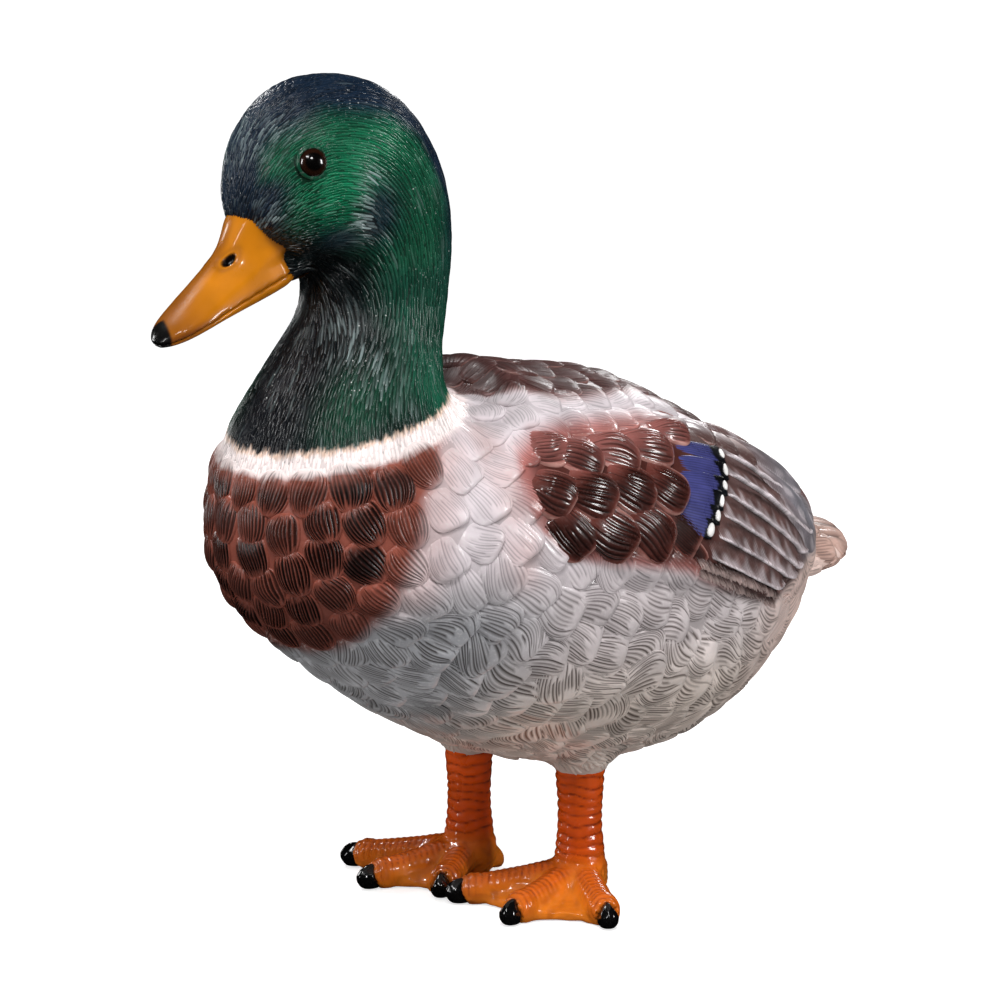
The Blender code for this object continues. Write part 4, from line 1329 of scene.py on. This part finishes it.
def eye(side):
    centre = middle_of("eye_" + side)
    outside = centre[None] + [[SIDES[side] * 6.0, -1.5, 1.0]]
    _, normal = skin.laid(outside)
    outward = Vector(unit(normal[0] + np.array([SIDES[side] * 0.4, -0.15, 0.05])))
    turn = Vector((0, 0, 1)).rotation_difference(outward)
    mesh = bmesh.new()
    bmesh.ops.create_uvsphere(mesh, u_segments=64, v_segments=40, radius=EYE_RADIUS * MM)
    flat = np.array([list(vertex.co) for vertex in mesh.verts]) / MM
    for vertex in mesh.verts:
        vertex.co = turn @ vertex.co + Vector(centre * MM)
    data = written("eyeball_" + side, mesh)
    around = np.hypot(flat[:, 0], flat[:, 1]) / EYE_RADIUS
    tone = mixed(np.tile(rgb(36, 17, 9), (len(flat), 1)), rgb(6, 5, 5), smooth(0.52 - around, -0.05, 0.08))
    painted(data, mixed(tone, rgb(10, 8, 8), smooth(around, 0.7, 0.78)))
    piece("eyeball_" + side, data, EYE_FINISH, ("eye_" + side,))

    steps, sides = 96, 20
    turns = np.linspace(0, 2 * math.pi, steps, endpoint=False)[:, None]
    rounds = np.linspace(0, 2 * math.pi, sides, endpoint=False)[None]
    deep = math.sqrt(EYE_RADIUS ** 2 - LID_RADIUS ** 2)
    thick = 0.62 + 0.12 * np.sin(turns - 0.6) + 0.05 * np.sin(9 * turns)
    radius = LID_RADIUS + 0.45 + thick * np.cos(rounds) * 1.3
    lift = deep - 0.4 + thick * np.sin(rounds) - 0.35 * (radius - LID_RADIUS)
    ring = np.stack([radius * np.cos(turns), radius * np.sin(turns) * 0.97, lift], -1).reshape(-1, 3)
    spots = np.array([list(turn @ Vector(spot)) for spot in ring]) + centre
    index = np.arange(steps * sides).reshape(steps, sides)
    after = np.roll(index, -1, 0)
    quads = np.stack([index, after, np.roll(after, -1, 1), np.roll(index, -1, 1)], -1).reshape(-1, 4)
    data = bpy.data.meshes.new("eyelid_" + side)
    fill(data, spots, quads[:, ::-1], np.zeros((0, 3), int))
    tone = np.tile(GREEN * 0.7, (len(spots), 1)) * (1 + 0.25 * cloudy(spots, 1.5, 4))[:, None]
    inner = smooth(LID_RADIUS + 0.2 - radius, 0, 0.5).ravel()
    painted(data, mixed(tone, BLACK, inner))
    piece("eyelid_" + side, data, HEAD_FINISH)


def leg(side):
    """Shank and foot in one, with the rings and creases of the casting."""
    data = fine_skin("leg_" + side, {"shank_" + side: 0.3, "foot_" + side: 0.3}, 0.75, 6, 0.5)
    points, faces = mesh_arrays(data)
    normals = smooth_normals(points, faces)
    axis = middle_of("shank_" + side)
    x, y, z = (points - [axis[0], axis[1], 0]).T
    angle = np.arctan2(y, x)
    ring = z / 3.7 + 0.14 * np.sin(angle + SIDES[side]) + 0.26 * cloudy(points, 11, 2)
    crease = 1 - np.abs(np.sin(math.pi * ring)) ** 0.8
    tall = smooth(z, 13, 20) * smooth(np.hypot(x, y), 40, 22)
    patchy = 0.65 + 0.35 * cloudy(points, 10, 5)
    shift = -1.0 * crease * tall * patchy + 0.35 * tall
    toe_crease = np.zeros(len(points))
    on_toe = np.zeros(len(points))
    for toe in TOES:
        way = (middle_of(f"claw_{side}_{toe}") - axis)[:2]
        reach = np.linalg.norm(way)
        along = (points[:, :2] - axis[:2]) @ (way / reach)
        off = np.abs((points[:, 0] - axis[0]) * way[1] - (points[:, 1] - axis[1]) * way[0]) / reach
        near = smooth(6.2 - off, 0, 2.5) * smooth(along, 9, 14) * smooth(reach - along, -2, 4)
        near = near * smooth(z, 2.5, 5)
        wrinkle = 1 - np.abs(np.sin(math.pi * (along / 2.5 + 0.12 * np.sin(off)))) ** 0.7
        toe_crease = np.maximum(toe_crease, wrinkle * near)
        on_toe = np.maximum(on_toe, near)
        swell = smooth(along, reach - 10, reach - 5) * smooth(reach - 0.5 - along, -1.5, 1.0)
        shift += 0.9 * swell * smooth(8 - off, 0, 2)
        shift -= 1.6 * smooth(along, reach, reach + 1.5) * smooth(8 - off, 0, 2)
    shift -= 0.55 * toe_crease
    web = (1 - tall) * (1 - on_toe)
    shift += web * 0.18 * cloudy(points, 4.0, 9)
    moved = points + normals * shift[:, None]
    moved[:, 2] = np.maximum(moved[:, 2], 0)
    put_points(data, moved)
    tone = mixed(np.tile(rgb(222, 120, 26), (len(points), 1)), rgb(222, 84, 12), smooth(z, 8, 22))
    tone = mixed(tone, rgb(206, 84, 18), 0.6 * on_toe)
    stain = 0.35 * web * smooth(cloudy(points, 6, 8), 0.2, 1)
    dark = np.clip(0.9 * crease ** 3 * tall + 0.8 * toe_crease ** 2 + stain, 0, 1)
    tone = mixed(tone, rgb(118, 34, 8), dark) * (1 + 0.10 * cloudy(points, 12, 3))[:, None]
    painted(data, tone, np.clip(crease * tall + toe_crease, 0, 1))
    piece("leg_" + side, data, GLOSS_FINISH, ("shank_" + side, "foot_" + side))


def black_claw(side, node):
    """A glossy black cap drawn to a point over the top of its toe."""
    data = fine_skin("toe_" + node, {node: 0.1}, 0.5, 6, 0.0)
    points, _ = mesh_arrays(data)
    centre = (points.min(0) + points.max(0)) / 2
    way = unit((centre - middle_of("shank_" + side)) * [1, 1, 0])
    across = np.array([way[1], -way[0], 0.0])
    local = points - centre
    ahead, aside, up = local @ way, local @ across, local[:, 2]
    pinch = smooth(up / up.max(), -0.1, 1.05)
    ahead = ahead * 1.04 - 0.9 * pinch - 0.3
    aside = aside * (1.04 - 0.38 * pinch)
    up = up * (1 + 0.06 * (up > 0))
    points = centre + np.outer(ahead, way) + np.outer(aside, across) + np.outer(up, [0, 0, 1.0])
    points[:, 2] = np.maximum(points[:, 2], 0)
    put_points(data, points)
    painted(data, np.tile(rgb(12, 11, 12), (len(points), 1)))
    piece("black_" + node, data, CLAW_FINISH, (node,))


for body_side in SIDES:
    eye(body_side)
    leg(body_side)
    for toe in TOES:
        black_claw(body_side, f"claw_{body_side}_{toe}")


# ------------------------------------------------------------------ floor, light and camera
def emitting(name, grey, glow):
    finish = bpy.data.materials.new(name)
    finish.use_nodes = True
    shader = finish.node_tree.nodes["Principled BSDF"]
    shader.inputs["Base Color"].default_value = (grey, grey, grey, 1)
    shader.inputs["Roughness"].default_value = 0.7
    shader.inputs["Emission Color"].default_value = (1, 1, 1, 1)
    shader.inputs["Emission Strength"].default_value = glow
    return finish


FLOOR_RADIUS, BACKDROP_RADIUS = 8.0, 8.2         # metres
DROPS = {"floor": -0.0003, "floor_bounce": -0.0006}      # metres below the soles


def stage():
    """A pale floor, and a white backdrop all round that only the camera sees.  The floor's soft light on the
    figure comes from a second disc just under it, which the camera doesn't see."""
    for name, finish in (("floor", emitting("pale_floor", 0.75, 0.70)),
                         ("floor_bounce", emitting("grey_floor", 0.45, 0.0)),
                         ("backdrop", emitting("white_backdrop", 0, 1.1))):
        mesh = bmesh.new()
        if name != "backdrop":
            bmesh.ops.create_circle(mesh, cap_ends=True, segments=96, radius=FLOOR_RADIUS)
        else:
            bmesh.ops.create_uvsphere(mesh, u_segments=48, v_segments=24, radius=BACKDROP_RADIUS)
        data = written(name, mesh)
        thing = bpy.data.objects.new(name, data)
        thing.location.z = DROPS.get(name, 0)
        bpy.context.scene.collection.objects.link(thing)
        data.materials.append(finish)
        if name == "floor_bounce":
            thing.visible_camera = thing.visible_glossy = False
        else:
            thing.visible_diffuse = thing.visible_glossy = thing.visible_transmission = False
            thing.visible_shadow = thing.visible_volume_scatter = False


LAMPS = (
    # name, kind, place, size (degrees for the sun), power, whether it shows in the gloss
    ("key", "SUN", (0.65, -0.60, 1.6), 9, 1.62, False),
    ("side", "AREA", (1.05, 0.40, 0.50), (0.12, 0.42), 4.2, True),
    ("front", "AREA", (-0.30, -1.12, 0.50), (0.10, 0.50), 2.3, True),
    ("top", "AREA", (0.20, -0.85, 1.05), (0.24, 0.14), 1.6, True),
    ("rim", "AREA", (-0.80, -0.15, 1.08), (0.12, 0.12), 2.4, True),
    ("low_rim", "AREA", (-1.05, -0.30, 0.32), (0.10, 0.40), 1.0, True),
    ("over_camera", "AREA", (0.62, -0.64, 0.90), (0.10, 0.14), 1.5, True),
    ("overhead", "AREA", (0.35, -0.45, 1.9), (1.4, 1.4), 5.0, False),
    ("fill_left", "AREA", (1.7, 0.0, 0.35), (0.8, 0.5), 2.2, False),
    ("fill_right", "AREA", (-1.3, -1.2, 0.5), (0.8, 0.8), 3.0, False),
    ("back", "AREA", (-0.6, 1.3, 0.9), (0.25, 0.30), 4.0, True),
)
LIT = Vector((0, 0, 0.15))           # the place that the lamps point at


def lamp(name, kind, place, size, power, glints):
    data = bpy.data.lights.new(name, kind)
    if kind == "SUN":
        data.angle = math.radians(size)
    else:
        data.shape = "RECTANGLE"
        data.size, data.size_y = size
    data.energy = power
    thing = bpy.data.objects.new(name, data)
    thing.location = place
    thing.rotation_mode = "QUATERNION"
    thing.rotation_quaternion = (LIT - Vector(place)).to_track_quat("-Z", "Y")
    thing.visible_glossy = glints
    thing.visible_camera = False
    bpy.context.scene.collection.objects.link(thing)


def lights():
    """A dim even sky, and the lamps."""
    world = bpy.data.worlds.new("studio")
    world.use_nodes = True
    sky = world.node_tree.nodes["Background"].inputs
    sky["Color"].default_value = (1, 1, 1, 1)
    sky["Strength"].default_value = 0.10
    world.cycles_visibility.glossy = False
    bpy.context.scene.world = world
    for row in LAMPS:
        lamp(*row)


TARGET, DISTANCE = Vector((0.0072, -0.0240, 0.1523)), 0.9603     # metres
AZIMUTH, ELEVATION, LENS, SENSOR = 47.02, 9.51, 95.155, 36       # degrees; millimetres


def camera():
    data = bpy.data.cameras.new("camera")
    data.sensor_width, data.lens = SENSOR, LENS
    data.clip_start, data.clip_end = 0.05, 30
    thing = bpy.data.objects.new("camera", data)
    around, above = math.radians(AZIMUTH), math.radians(ELEVATION)
    back = Vector((math.sin(around) * math.cos(above), -math.cos(around) * math.cos(above), math.sin(above)))
    thing.location = TARGET + back * DISTANCE
    thing.rotation_mode = "QUATERNION"
    thing.rotation_quaternion = (-back).to_track_quat("-Z", "Y")
    bpy.context.scene.collection.objects.link(thing)
    bpy.context.scene.camera = thing


stage()
lights()
camera()
bpy.context.scene.view_settings.view_transform = "Standard"
